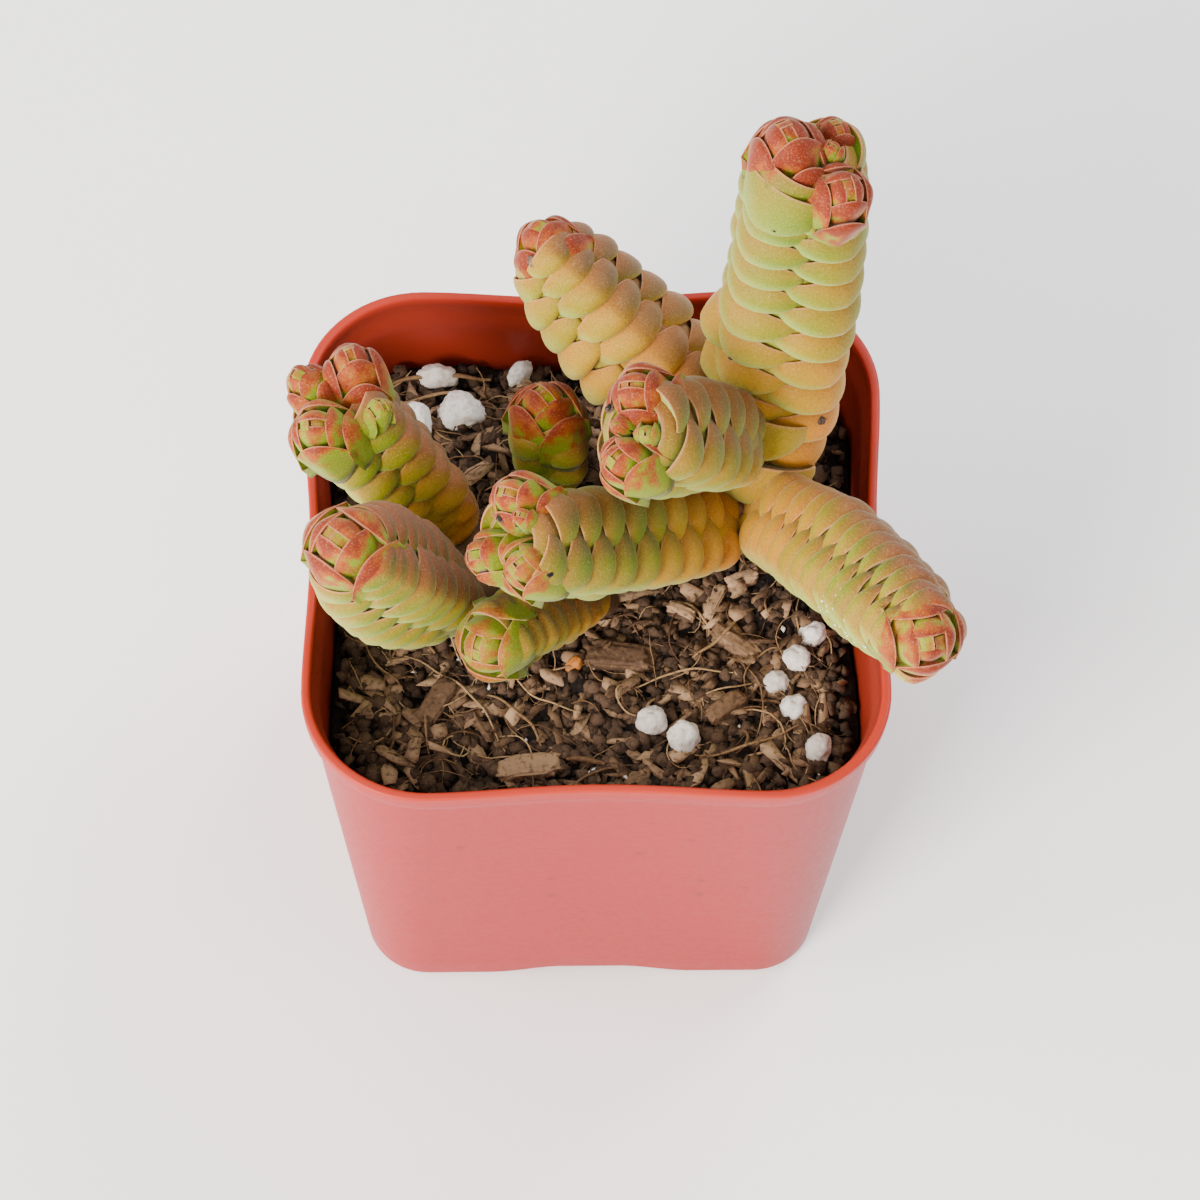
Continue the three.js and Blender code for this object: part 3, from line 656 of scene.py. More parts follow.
@dataclass
class LeafLibrary:
    """Unit leaves: x outward, y sideways, z along the shoot, in radii of the column or head."""

    across: int = 28
    up: int = 14
    pitch: float = 0.5
    spread: float = 56.0
    crease: float = 0.84
    belly: float = 1.16
    margin: float = 0.93
    keel: float = 0.5
    foot_gap: float = 0.04
    foot_rise: float = 0.36
    overhang: float = 0.36
    margin_fall: float = 0.38
    head_fall: float = 0.62
    head_square: float = 0.35
    head_scallop: float = 0.45
    core_radius: float = 0.86
    core_taper: float = 0.25
    wave_height: float = 0.03
    wave_step: float = 3.1
    pairs: tuple[HeadPair, ...] = (
        HeadPair(1.10, 0.76, 0.80, -0.35, 0.06), HeadPair(0.98, 0.56, 0.83, -0.12, 0.04),
        HeadPair(0.78, 0.34, 0.62, 0.10, 0.03), HeadPair(0.57, 0.12, 0.40, 0.30, 0.02),
        HeadPair(0.52, 0.012, 0.155, 0.30, 0.01))

    def body(self, a: np.ndarray, b: np.ndarray, tall: float, full: float) -> np.ndarray:
        """Outer skin of a leaf on the column: a round belly that overhangs its foot, and a margin tucked in.

        Args:
            a: place across the leaf, -1 to 1.
            b: place up the leaf, 0 at the fold below the belly and 1 at the free margin.
            tall: height of the margin, in rank pitches.
            full: how far the belly swells.

        Returns:
            Positions, one for each pair of a and b.
        """
        side = np.abs(a)
        angle = np.radians(self.spread) * a
        flat = 1 - self.keel * side - (1 - self.keel) * side ** 2
        belly = self.crease + (self.belly * full - self.crease) * flat
        margin = self.margin + (self.crease - self.margin) * side ** 3
        low = self.pitch * (self.foot_gap + self.foot_rise * side ** 1.8)
        top = self.pitch * (tall - self.margin_fall * side ** 1.7)
        drop = self.pitch * self.overhang * (1 - side ** 2)
        # the two middle points of the cubic stand so far out that it reaches the belly halfway up
        push = (belly - (self.crease + margin) / 8) / 0.75
        lines = [(self.crease, low), (push, low - drop), (push, low + 0.6 * (top - low)), (margin, top)]
        weights = [(1 - b) ** 3, 3 * b * (1 - b) ** 2, 3 * b ** 2 * (1 - b), b ** 3]
        radius = sum(w * line[0] for w, line in zip(weights, lines))
        height = sum(w * line[1] for w, line in zip(weights, lines))
        return np.stack([radius * np.cos(angle), radius * np.sin(angle), height], -1)

    def head(self, a: np.ndarray, b: np.ndarray, pair: HeadPair) -> np.ndarray:
        """Outer skin of a leaf in a domed head, whose straight margin faces its twin across a slot.

        Args:
            a: place across the leaf, -1 to 1.
            b: place up the leaf, 0 at its foot and 1 at the margin.
            pair: which pair it belongs to.

        Returns:
            Positions, one for each pair of a and b.
        """
        half = min(pair.half, 0.985 * math.sqrt(pair.reach ** 2 - pair.gap ** 2))
        y = a * half
        round_edge = np.sqrt(pair.reach ** 2 - y ** 2)
        square_edge = pair.reach - np.sqrt(y ** 2 + 0.02) + 0.14
        edge = (1 - self.head_square) * round_edge + self.head_square * square_edge
        outer = np.maximum(edge, pair.gap + 0.01)
        top = 1 + pair.over - self.head_fall * (pair.gap ** 2 + y ** 2)
        foot = pair.foot + (top - pair.foot) * self.head_scallop * np.abs(a) ** 2.2
        theta = b * QUARTER
        x = pair.gap + (outer - pair.gap) * np.cos(theta) ** 0.8
        z = foot + (top - foot) * np.sin(theta) ** 0.9
        return np.stack([x + 0 * z, y + 0 * z, z + 0 * x], -1)

    def core(self, a: np.ndarray, b: np.ndarray) -> np.ndarray:
        """Skin of the stem inside the leaves: a drum that closes the seams between the ranks.

        Args:
            a: place round it, -1 to 1.
            b: place up it, 0 to 1.

        Returns:
            Positions, one for each pair of a and b.
        """
        angle = a * math.pi
        radius = self.core_radius - self.core_taper * np.abs(2 * b - 1) ** 6
        height = self.pitch * (1.9 * b - 0.9) + 0 * angle
        return np.stack([radius * np.cos(angle), radius * np.sin(angle), height], -1)

    def make(self, shape: LeafShape, skin: Callable[[np.ndarray, np.ndarray], np.ndarray],
             heart: Row, lip: float, wave_at: float | None = None) -> bpy.types.Object:
        """Closes a skin over a rolled margin and an inner face.

        Args:
            shape: which shape it is.
            skin: function of a and b that gives the outer skin.
            heart: a point inside the shoot that the hidden inner face runs to.
            lip: how thick the margin is.
            wave_at: place in the noise that makes it uneven, if it isn't the shape's own.

        Returns:
            A unit leaf.
        """
        a = np.linspace(-1, 1, self.across + 1)
        b = np.linspace(0, 1, self.up + 1)
        grid = skin(a[None, :], b[:, None])
        away = Vector((self.wave_step * shape.value if wave_at is None else wave_at, 0, 0))
        wave = np.array([[noise.noise(Vector(p * 1.7) + away) for p in row] for row in grid])
        grid = grid * (1 + self.wave_height * wave[..., None] * np.sin(math.pi * b)[:, None, None])
        centre = np.array(heart)
        edge = grid[-1]
        inward = (centre - edge) * np.array([1, 1, 0])
        inward /= np.maximum(np.linalg.norm(inward, axis=1), 1e-6)[:, None]
        rows = np.concatenate([grid, [
            edge + inward * lip * 0.5 + (0, 0, 0.35 * lip), edge + inward * lip - (0, 0, 0.3 * lip),
            edge + inward * lip * 1.2 - (0, 0, 2 * lip), edge + (centre - edge) * 0.45]])
        rise = np.concatenate([b * 0.97, [1.0, 0.98, 0.4, 0.05]])
        count = self.across + 1
        faces = [(k, k + 1, k + count + 1, k + count)
                 for i in range(len(rows) - 1) for k in range(i * count, i * count + self.across)]
        # the border runs up one side, along the inner row, down the other side and back along the foot
        last = count * len(rows)
        border = [*range(0, last, count), *range(last - count + 1, last),
                  *range(last - count - 1, 0, -count), *range(self.across - 1, 0, -1)]
        faces += [(p, q, last) for p, q in zip(border, border[1:] + border[:1])]
        points = np.concatenate([rows.reshape(-1, 3), centre[None]])
        return mesh_object(f"leaf_{shape.value:02d}", points, faces, values={
            "rise": np.append(np.repeat(rise, count), 0.0),
            "across": np.append(np.tile(np.abs(a), len(rows)), 0.0)})

    def build(self) -> bpy.types.Collection:
        """Makes every unit leaf.

        Returns:
            The collection that the shoots pick their leaves from.
        """
        shapes = [self.make(shape, partial(self.body, tall=tall, full=full), (0.3, 0.0, 0.1), 0.03)
                  for shape, tall, full in ((LeafShape.BODY_A, 1.08, 1.0), (LeafShape.BODY_B, 1.12, 1.03),
                                            (LeafShape.BODY_C, 1.05, 0.98), (LeafShape.LAST, 1.7, 0.97))]
        for pair, shape in zip(self.pairs, (LeafShape.HEAD_0, LeafShape.HEAD_1, LeafShape.HEAD_2,
                                            LeafShape.HEAD_3, LeafShape.HEAD_4)):
            shapes.append(self.make(shape, partial(self.head, pair=pair), (0.0, 0.0, pair.foot), 0.022))
        shapes.append(self.make(LeafShape.CORE, self.core, (0.0, 0.0, 0.0), 0.01, 31.0))
        store = bpy.data.collections.new("leaf shapes")
        for leaf in shapes:
            bpy.context.scene.collection.objects.unlink(leaf)
            store.objects.link(leaf)
        return store


@dataclass
class Head:
    """A growing tip that ends in its own dome of leaf pairs."""

    foot: Row
    apex: Row
    radius: float
    turn: float
    red: float
    first: int = 0


@dataclass
class Leaflet:
    """A single leaf out of rank: its place up the axis, the side it stands on, its size and colours."""

    t: float
    degrees: float
    out: float
    size: Row
    lean: float
    warm: float
    red: float
    shape: LeafShape


@dataclass
class Shoot:
    """A leafy column: four ranks of fused leaves on a short curved axis, with heads at its tip."""

    name: str
    stations: Sequence[Row]
    turn: float
    heads: Sequence[Head]
    warm: Row
    # how strongly each part of the shoot takes the sun tan and the painted shade of its upper sides
    tan: Row
    pitch: Row
    seed: int
    girth: float = 0.93
    foot_girth: float = 0.86
    tip_narrowing: float = 0.12
    leaflets: Sequence[Leaflet] = ()

    def pick(self, t: float) -> Vector:
        """Point of the axis at t, in metres."""
        return Vector([through([s[k] for s in self.stations], t) for k in range(3)]) * MM

    def radius(self, t: float) -> float:
        """Radius of the column at t, in metres."""
        return through([s[3] for s in self.stations], t) * MM

    @staticmethod
    def value(row: Row, t: float) -> float:
        """Value at t of a row that is spread evenly from the foot to the tip."""
        return float(np.interp(t, np.linspace(0, 1, len(row)), row))

    def axis(self, t: float) -> Axis:
        """Place and directions at t."""
        return Axis(self.pick(t), self.pick(t + 0.01) - self.pick(t - 0.01))

    def placements(self, pitch: float) -> list[Placement]:
        """Sets out every leaf of the column and of its heads.

        Args:
            pitch: rank pitch of the unit leaves, in radii.

        Returns:
            One placement for each leaf.
        """
        random = np.random.default_rng(self.seed)
        length = (self.pick(1) - self.pick(0)).length
        found = []
        t, pair = 0.0, 0
        while t < 1:
            r = self.radius(t)
            rank = r * self.value(self.pitch, t)
            place = self.axis(t)
            left = (1 - t) * length / r
            near_tip = self.tip_narrowing * float(smooth(left, 1.5, -0.2))
            near_foot = (1 - self.foot_girth) * float(smooth(t * length / r, 0.8, 0))
            wide = r * self.girth * (1 - near_tip) * (1 - near_foot)
            hue = {"warm": self.value(self.warm, t), "red": 0.0, "tan": self.value(self.tan, t), "along": t}
            found.append({"at": place.origin, "turn": place.turned(self.turn), "shape": LeafShape.CORE.value,
                          "size": Vector((wide, wide, rank)), **hue})
            for side in (0, 180):
                degrees = self.turn + 90 * (pair % 2) + side + random.uniform(-2, 2)
                girth, tall = random.uniform(0.98, 1.03), random.uniform(0.97, 1.05)
                found.append({
                    "at": place.origin, "turn": place.turned(degrees, random.uniform(-1.5, 1.5)),
                    "size": Vector((wide * girth, wide, rank * tall)),
                    "shape": int(random.integers(LeafShape.BODY_A.value, LeafShape.BODY_C.value + 1)), **hue,
                    "warm": hue["warm"] + random.uniform(-0.08, 0.08),
                    "red": 0.5 * float(smooth(left, 0.7, 0))})
            t += 0.5 * pitch * rank / length
            pair += 1
        for head in self.heads:
            found += self.head_leaves(head, hue, random)
        return found + [self.leaflet(leaf, hue) for leaf in self.leaflets]

    def head_leaves(self, head: Head, hue: dict[str, float], random: np.random.Generator) -> list[Placement]:
        """Sets out the pairs of one head.

        Args:
            head: the head.
            hue: colours at the tip of the column.
            random: source of its small unevenness.

        Returns:
            One placement for each of its leaves.
        """
        foot, apex = Vector(head.foot) * MM, Vector(head.apex) * MM
        place = Axis(foot, apex - foot)
        tall = (apex - foot).length
        found = []
        innermost = LeafShape.HEAD_4.value - LeafShape.HEAD_0.value
        for k in range(head.first, innermost + 1):
            for side in (0, 180):
                found.append({
                    "at": foot,
                    "turn": place.turned(head.turn + 90 * (k % 2) + side, random.uniform(-1.5, 1.5)),
                    "size": Vector((head.radius * MM, head.radius * MM, tall * random.uniform(0.98, 1.03))),
                    "shape": LeafShape.HEAD_0.value + k, **hue, "along": 1.1, "tan": 0.3 * hue["tan"],
                    "warm": hue["warm"] + random.uniform(-0.1, 0.1),
                    "red": head.red * (0.4 if k == innermost else 1)})
        return found

    def leaflet(self, leaf: Leaflet, hue: dict[str, float]) -> Placement:
        """Sets out one leaf that stands out of rank.

        Args:
            leaf: the leaf.
            hue: colours at the tip of the column.

        Returns:
            Its placement.
        """
        place = self.axis(leaf.t)
        turn = place.turned(leaf.degrees, leaf.lean)
        return {"at": place.origin + turn.col[0] * leaf.out * MM, "turn": turn,
                "size": Vector(leaf.size) * MM, "shape": leaf.shape.value,
                **hue, "along": 1.05, "warm": leaf.warm, "red": leaf.red}

    def build(self, shapes: bpy.types.Collection, pitch: float, group: bpy.types.NodeTree,
              material: bpy.types.Material) -> bpy.types.Object:
        """Repeats the unit leaves along the shoot and makes one plain mesh of them.

        Args:
            shapes: the library of unit leaves.
            pitch: rank pitch of the unit leaves, in radii.
            group: the tree that puts shapes on points.
            material: the leaf finish.

        Returns:
            The finished shoot.
        """
        rows = self.placements(pitch)
        carrier = mesh_object(self.name + "_points", np.array([list(r["at"]) for r in rows]), [], values={
            key: np.array([r[key] for r in rows]) for key in ("along", "warm", "tan", "red")})
        for key, kind, field_name, values in (
                ("turn", "QUATERNION", "value", [tuple(r["turn"].to_quaternion()) for r in rows]),
                ("size", "FLOAT_VECTOR", "vector", [tuple(r["size"]) for r in rows]),
                ("shape", "INT", "value", [r["shape"] for r in rows])):
            layer = carrier.data.attributes.new(key, kind, "POINT")
            layer.data.foreach_set(field_name, np.array(values).ravel())
        piece = bake_nodes(carrier, group, {
            "Shapes": shapes, "Wobble": 0.02, "Seed": self.seed, "Material": material}, self.name + "_leaves")
        self.light(piece)
        finish_piece(piece, "leaf", [self.name])
        return piece

    @staticmethod
    def light(piece: bpy.types.Object) -> None:
        """Keeps how far each point of the skin faces the sun, which the leaf's colour follows: sun tan with
        painted shade on the upper sides, and painted bounce light on the undersides.

        Args:
            piece: the shoot's finished mesh.
        """
        mesh = piece.data
        normals = np.empty(len(mesh.vertices) * 3, dtype=np.float32)
        mesh.vertex_normals.foreach_get("vector", normals)
        facing = normals.reshape(-1, 3) @ np.array(SUN_AND_PAINTED_LIGHT)
        mesh.attributes.new("sun", "FLOAT", "POINT").data.foreach_set("value", facing.astype(np.float32))


@dataclass
class Pot:
    """Square tapered nursery pot with round corners, a plain lip, low arches and four drain holes."""

    height: float = 50.0
    top_half: float = 28.5
    base_half: float = 22.5
    top_corner: float = 11.8
    base_corner: float = 6.0
    bow: float = 0.8
    wall: float = 0.9
    floor: float = 1.6
    lip_height: float = 1.8
    lip_flare: float = 0.5
    foot_round: float = 0.9
    rim_round: float = 0.3
    arch_height: float = 1.2
    arch_flat: float = 3.0
    arch_reach: float = 10.0
    channel_start: float = 0.55
    channel_slope: float = 0.1
    arch_end: float = 8.0
    neck: float = 2.4
    drain_radius: float = 2.0
    drain_at: float = 15.5
    drain_sides: int = 32
    drain_turn: float = 0.07
    side_steps: int = 30
    corner_steps: int = 18

    def outline(self, half: float, corner: float, bow: float, z: float, lift: float = 0.0) -> np.ndarray:
        """One ring round the pot.

        Args:
            half: half of its width.
            corner: radius of its corners.
            bow: how far its sides bow inward.
            z: its height.
            lift: how far the arch in each side lifts it.

        Returns:
            Ring positions in millimetres.
        """
        straight = half - corner
        ring = []
        for side in range(4):
            c, s = math.cos(side * QUARTER), math.sin(side * QUARTER)
            local = []
            for k in range(self.side_steps):
                t = -1 + 2 * k / self.side_steps
                fall = float(smooth(abs(t * straight), self.arch_flat, self.arch_reach))
                local.append((t * straight, -half + bow * (1 - t * t) ** 2, lift * (1 - fall)))
            for k in range(self.corner_steps):
                angle = math.radians(-90 + 90 * k / self.corner_steps)
                local.append((straight + corner * math.cos(angle), -straight + corner * math.sin(angle), 0.0))
            ring += [(x * c - y * s, x * s + y * c, z + up) for x, y, up in local]
        return np.array(ring)

    def section(self, z: float, inward: float, lift: float = 0.0) -> np.ndarray:
        """The wall's outer ring at a height, moved inward.

        Args:
            z: the height.
            inward: how far inside the outer face the ring lies.
            lift: how far the arch in each side lifts it.

        Returns:
            Ring positions in millimetres.
        """
        t = z / self.height
        half = self.base_half + (self.top_half - self.lip_flare - self.base_half) * t - inward
        lip = self.height - self.lip_height
        flare = self.lip_flare * float(smooth(z, lip - self.lip_height, lip))
        corner = self.base_corner + (self.top_corner - self.base_corner) * t - 0.6 * inward
        return self.outline(half + flare, corner, self.bow * t, z, lift)

    def base(self, scale: float, z: float, lift: float) -> np.ndarray:
        """A ring of the base's underside or floor."""
        return self.outline(self.base_half * scale, self.base_half * scale * 0.3, 0, z, lift)

    def build(self, material: bpy.types.Material) -> bpy.types.Object:
        """Lofts the pot and cuts its drain holes.

        Args:
            material: the pot finish.

        Returns:
            The finished pot.
        """
        h, w, arch, up, turn = self.height, self.wall, self.arch_height, self.lip_height, self.rim_round
        start, slope, shoulder = self.channel_start, self.channel_slope, h - self.neck * up

        def arched(z: float) -> float:
            """How far the arch still lifts the wall at a height."""
            return arch * float(smooth(z, self.arch_end, 1))

        # each row is a ring, how far it belongs to the inside, and how far to the rim; both are masks of the
        # pot's painted glow
        rows = [(self.base(share, 0, lift), 0.0, 0.0) for share, lift in (
            (0.1, 0), (start - slope, 0), (start - slope / 2, arch / 2), (start, arch), (0.8, arch))]
        for a in np.linspace(0, QUARTER, 6):
            out, rise = self.foot_round * (1 - math.sin(a)), self.foot_round * (1 - math.cos(a))
            rows.append((self.section(rise, out, arch), 0.0, 0.0))
        for z in np.linspace(self.foot_round, shoulder, 16)[1:]:
            rows.append((self.section(z, 0, arched(z)), 0.0, 0.0))
        rows += [(self.section(z, 0), 0.0, 0.0) for z in np.linspace(shoulder, h - up, 9)[1:]]
        rows.append((self.section(h - turn, 0), 0.0, 0.6))
        for a in np.linspace(0, QUARTER, 5)[1:]:
            rows.append((self.section(h - turn * (1 - math.sin(a)), turn * (1 - math.cos(a))), 0.0, 1.0))
        for a in np.linspace(0, QUARTER, 5):
            lip = self.section(h - turn * (1 - math.cos(a)), w - turn * (1 - math.sin(a)))
            rows.append((lip, a / QUARTER, 1.0))
        rows += [(self.section(z, w), 1.0, 0.0) for z in np.linspace(h - turn, h - turn - 3 * up, 9)[1:]]
        rows += [(self.section(z, w, arched(z)), 1.0, 0.0) for z in (36.0, 24.0, 12.0, 5.0)]
        fillet = self.floor + self.foot_round
        rows.append((self.section(fillet, w + 0.2, arched(fillet)), 1.0, 0.0))
        rows.append((self.section(self.floor, w + self.foot_round + 0.6, arch), 1.0, 0.0))
        rows += [(self.base(share, self.floor, lift), 1.0, 0.0) for share, lift in (
            (0.8, arch), (start - 0.04, arch), (start - 0.04 - slope, 0), (0.1, 0))]
        count = len(rows[0][0])
        points = np.concatenate([r[0] for r in rows]) * MM
        inside, rim = (np.repeat([r[k] for r in rows], count) for k in (1, 2))
        pot = mesh_object("pot_wall", points, ring_faces(len(rows), count), material,
                          {"inside": inside, "rim": rim})
        for k in range(4):
            self.drain(pot, k * QUARTER)
        finish_piece(pot, "pot", ["pot"])
        return pot

    def drain(self, pot: bpy.types.Object, angle: float) -> None:
        """Cuts one drain hole through the floor.

        Args:
            pot: the pot.
            angle: direction from its middle that the hole lies in.
        """
        at = self.drain_at * np.array([math.cos(angle), math.sin(angle)])
        # a small turn keeps the cutter's corners off the base's own points
        around = np.linspace(0, 2 * math.pi, self.drain_sides, endpoint=False) + self.drain_turn
        ring = np.stack([np.cos(around), np.sin(around)], -1) * self.drain_radius + at
        points = [(x, y, z) for z in (-1.0, 5.0) for x, y in ring]
        faces = ring_faces(2, self.drain_sides)
        cutter = mesh_object("cutter", np.array(points) * MM, faces)
        cut = pot.modifiers.new("drain", "BOOLEAN")
        cut.operation, cut.object, cut.solver = "DIFFERENCE", cutter, "EXACT"
        mesh = frozen(pot)
        pot.modifiers.remove(cut)
        pot.data = mesh
        bpy.data.objects.remove(cutter)


def soil_height(x: float | np.ndarray, y: float | np.ndarray) -> float | np.ndarray:
    """Height of the soil's lumpy surface, in millimetres."""
    return (41 + 0.45 * np.sin(0.55 * x + 1.1) * np.cos(0.48 * y - 0.6)
            + 0.27 * np.sin(1.15 * x - 0.9 * y + 0.4) + 0.18 * np.cos(1.6 * y + 0.7 * x))


@dataclass(frozen=True)
class Strew:
    """One kind of loose bit: how many on a square metre, their sizes, tilt, sink and distance inside."""

    name: str
    finish: GritFinish
    slot: str
    density: float
    smallest: float
    largest: float
    tilt: float
    sink: float
    inset: float


@dataclass
class Soil:
    """Potting mix: a lumpy body that fills the pot, strewn with crumbs, bark, coir fibre and perlite dust."""

    pot: Pot
    rim_drop: float = 0.7
    clear: float = 1.25
    bottom: float = 3.1
    rings: int = 46
    skin_rings: int = 14
    strands: int = 420
    stride: float = 0.62
    shortest: int = 4
    seed: int = 7
    twigs: Sequence[Row] = (
        (-10.4, -12.6, -5.3, -18.2, 0.17, 0.9, 0.55), (-2.9, -19.7, 0.9, -20.2, 0.30, 0.2, 0.3),
        (-20.6, 22.6, -9.8, 23.4, 0.26, 0.5, 0.5), (-19.4, 20.6, -12.6, 22.0, 0.18, -0.4, 0.7),
        (-18.6, -8.0, -8.8, -18.6, 0.12, 1.6, 0.8), (-14.6, -9.4, -16.2, -19.0, 0.14, -1.0, 0.6),
        (3.2, -12.2, 13.6, -10.4, 0.12, 1.2, 0.8), (9.6, -19.2, 19.8, -16.2, 0.16, -0.8, 0.6),
        (14.6, -3.4, 9.6, -8.6, 0.2, 0.5, 0.75), (-8.8, -9.2, -1.4, -14.4, 0.1, -1.2, 0.9))

    def build(self) -> None:
        """Makes the body of soil and everything loose on it."""
        body = self.body()
        finish_piece(body, "soil", ["soil"])
        group = Scatter.over_surface()
        crumb, chip = self.lumps("crumb", 5, 0.32, 16), self.shards("chip", 6)
        grit = self.lumps("grit", 4, 0.5, 9)
        strews = (
            (Strew("soil_crumbs", CRUMB, "soil", 1500e3, 0.45, 1.5, 3.1, 0.1, 1.9), crumb),
            (Strew("soil_chips", CHIPS, "bark", 350e3, 0.5, 1.3, 0.55, 0.35, 3.6), chip),
            (Strew("soil_grit", PERLITE, "perlite", 26e3, 0.25, 0.75, 3.1, 0.3, 1.9), grit))
        for number, (strew, shapes) in enumerate(strews):
            piece = bake_nodes(self.surface(strew.inset), group, {
                "Shapes": shapes, "Density": strew.density, "Smallest": strew.smallest * MM,
                "Largest": strew.largest * MM, "Tilt": strew.tilt, "Sink": strew.sink * MM,
                "Seed": self.seed + number, "Material": strew.finish.material()}, strew.name)
            finish_piece(piece, strew.slot)
        self.fibres()

    def level(self, x: np.ndarray, y: np.ndarray, scale: float) -> np.ndarray:
        """Height of the finished surface: the lumpy level, the drop at the rim and finer clods.

        Args:
            x: places across, in millimetres.
            y: places deep, in millimetres.
            scale: share of the soil's width that they lie at.

        Returns:
            Heights in millimetres.
        """
        z = soil_height(x, y) - self.rim_drop * max(0.0, 5 * scale - 4)
        clods = np.array([noise.fractal(Vector((across * 0.42, deep * 0.42, 3.0)), 0.7, 2.1, 4)
                          for across, deep in zip(x, y)])
        return z + 0.42 * clods * (1 if scale < 0.97 else 0.4) - 0.25

    @staticmethod
    def shrunk(outer: np.ndarray, rings: int, height: Callable[..., np.ndarray]) -> list[np.ndarray]:
        """Rings that shrink from an outline toward its middle.

        Args:
            outer: the outline, in millimetres.
            rings: how many rings.
            height: function of x, y and the ring's share of the outline that gives heights.

        Returns:
            Positions of each ring in millimetres.
        """
        found = []
        for scale in 1 - np.arange(rings) / rings:
            x, y = outer[:, 0] * scale, outer[:, 1] * scale
            found.append(np.stack([x, y, height(x, y, scale)], -1))
        return found

    def body(self) -> bpy.types.Object:
        """The closed body of soil.

        Returns:
            The body.
        """
        edge = 41 - self.rim_drop
        rows = [self.pot.section(z, self.clear + inward) for z, inward in (
            (self.bottom, 1.2), (self.bottom + 1.2, 0.3), (20, 0), (edge - 1.2, 0))]
        outer = self.pot.section(edge, self.clear)
        rows += self.shrunk(outer, self.rings, self.level)
        points = np.concatenate(rows) * MM
        faces = ring_faces(len(rows), len(outer))
        return mesh_object("soil_body", points, faces, SOIL.material(), {"seed": np.full(len(points), 0.4)})

    def surface(self, inset: float) -> bpy.types.Object:
        """An open skin of the soil's top, which loose bits are strewn over.

        Args:
            inset: how far inside the pot's outer face it ends, so that no bit reaches through the wall.

        Returns:
            The skin.
        """
        outer = self.pot.section(40.3, inset)
        rows = self.shrunk(outer, self.skin_rings, lambda x, y, _: soil_height(x, y) - 0.35)
        return mesh_object("soil_skin", np.concatenate(rows) * MM, ring_faces(len(rows), len(outer), False))

    def lumps(self, name: str, kinds: int, rough: float, sides: int) -> bpy.types.Collection:
        """Unit crumbs, each a small uneven ball.

        Args:
            name: name of the collection.
            kinds: how many to make.
            rough: how uneven they are.
            sides: about how many points each has.

        Returns:
            The collection.
        """
        random = np.random.default_rng(self.seed)
        store = bpy.data.collections.new(name)
        for kind in range(kinds):
            directions = random.normal(size=(sides, 3))
            directions /= np.linalg.norm(directions, axis=1)[:, None]
            points = directions * random.uniform(1 - rough, 1, (sides, 1)) * random.uniform(0.6, 1, 3)
            self.hull(f"{name}_{kind}", points, store)
        return store

    def shards(self, name: str, kinds: int) -> bpy.types.Collection:
        """Unit flakes of bark: long, flat and split along their grain.

        Args:
            name: name of the collection.
            kinds: how many to make.

        Returns:
            The collection.
        """
        random = np.random.default_rng(self.seed + 5)
        store = bpy.data.collections.new(name)
        for kind in range(kinds):
            long, wide = random.uniform(1.3, 2.6), random.uniform(0.4, 0.95)
            points = random.uniform(-1, 1, (18, 3)) * np.array([long, wide, 0.22])
            points[:, 1] *= 1 - 0.35 * np.abs(points[:, 0]) / long
            self.hull(f"{name}_{kind}", points, store)
        return store

    @staticmethod
    def hull(name: str, points: np.ndarray, store: bpy.types.Collection) -> None:
        """Wraps points in their hull and keeps it in a collection.

        Args:
            name: name of the shape.
            points: the points.
            store: the collection.
        """
        shell = bmesh.new()
        for p in points:
            shell.verts.new(p)
        result = bmesh.ops.convex_hull(shell, input=shell.verts)
        spare = {v for key in ("geom_interior", "geom_unused") for v in result[key]
                 if isinstance(v, bmesh.types.BMVert)}
        bmesh.ops.delete(shell, geom=list(spare), context="VERTS")
        mesh = bpy.data.meshes.new(name)
        shell.to_mesh(mesh)
        shell.free()
        store.objects.link(bpy.data.objects.new(name, mesh))

    def twig_run(self, twig: Row) -> list[Row]:
        """Path of one listed twig: it bends sideways and rises in its middle.

        Args:
            twig: its two ends, half thickness, bend and shade.

        Returns:
            Positions in millimetres.
        """
        x0, y0, x1, y1, _, bend, _ = twig
        side = Vector((y0 - y1, x1 - x0)).normalized() * bend
        run = []
        for t in np.linspace(0, 1, 18):
            arc = math.sin(math.pi * t)
            x, y = x0 + (x1 - x0) * t + side.x * arc, y0 + (y1 - y0) * t + side.y * arc
            run.append((x, y, float(soil_height(x, y)) + 0.35 + 0.5 * arc))
        return run

    def fibre_run(self, random: np.random.Generator) -> tuple[list[Row], float, float]:
        """Path of one coir fibre: it starts anywhere, curls one way and ends where the pot's wall is near.

        Args:
            random: source of its course.

        Returns:
            Positions in millimetres, its half thickness and its shade.
        """
        x, y = random.uniform(-23, 23, 2)
        heading, curl = random.uniform(0, 2 * math.pi), random.normal(0, 0.22)
        steps = int(random.integers(6, 16))
        width = random.choice([0.05, 0.07, 0.1, 0.16], p=[0.35, 0.35, 0.2, 0.1])
        hump, tone = random.uniform(0.0, 0.9), random.random()
        run = []
        for k in range(steps):
            if math.hypot(max(abs(x) - 16, 0), max(abs(y) - 16, 0)) > 8.8:
                break
            run.append((x, y, float(soil_height(x, y)) + 0.1 + hump * math.sin(math.pi * k / (steps - 1))))
            heading += curl + random.normal(0, 0.12)
            x, y = x + self.stride * math.cos(heading), y + self.stride * math.sin(heading)
        return run, width, tone

    def fibres(self) -> None:
        """Makes the coir fibres and thin twigs that lie curled on the mix."""
        random = np.random.default_rng(self.seed + 9)
        found = [(self.twig_run(twig), twig[4], twig[6]) for twig in self.twigs]
        found += [self.fibre_run(random) for _ in range(self.strands)]
        runs = []
        for run, width, tone in found:
            swell = np.sin(math.pi * (np.arange(len(run)) + 0.5) / max(len(run), 1))
            runs.append((run, width * (0.5 + 0.5 * swell), tone))
        kept = [run for run in runs if len(run[0]) >= self.shortest]
        finish_piece(strand_piece("soil_fibres", kept, 5, FIBRE.material()), "soil")


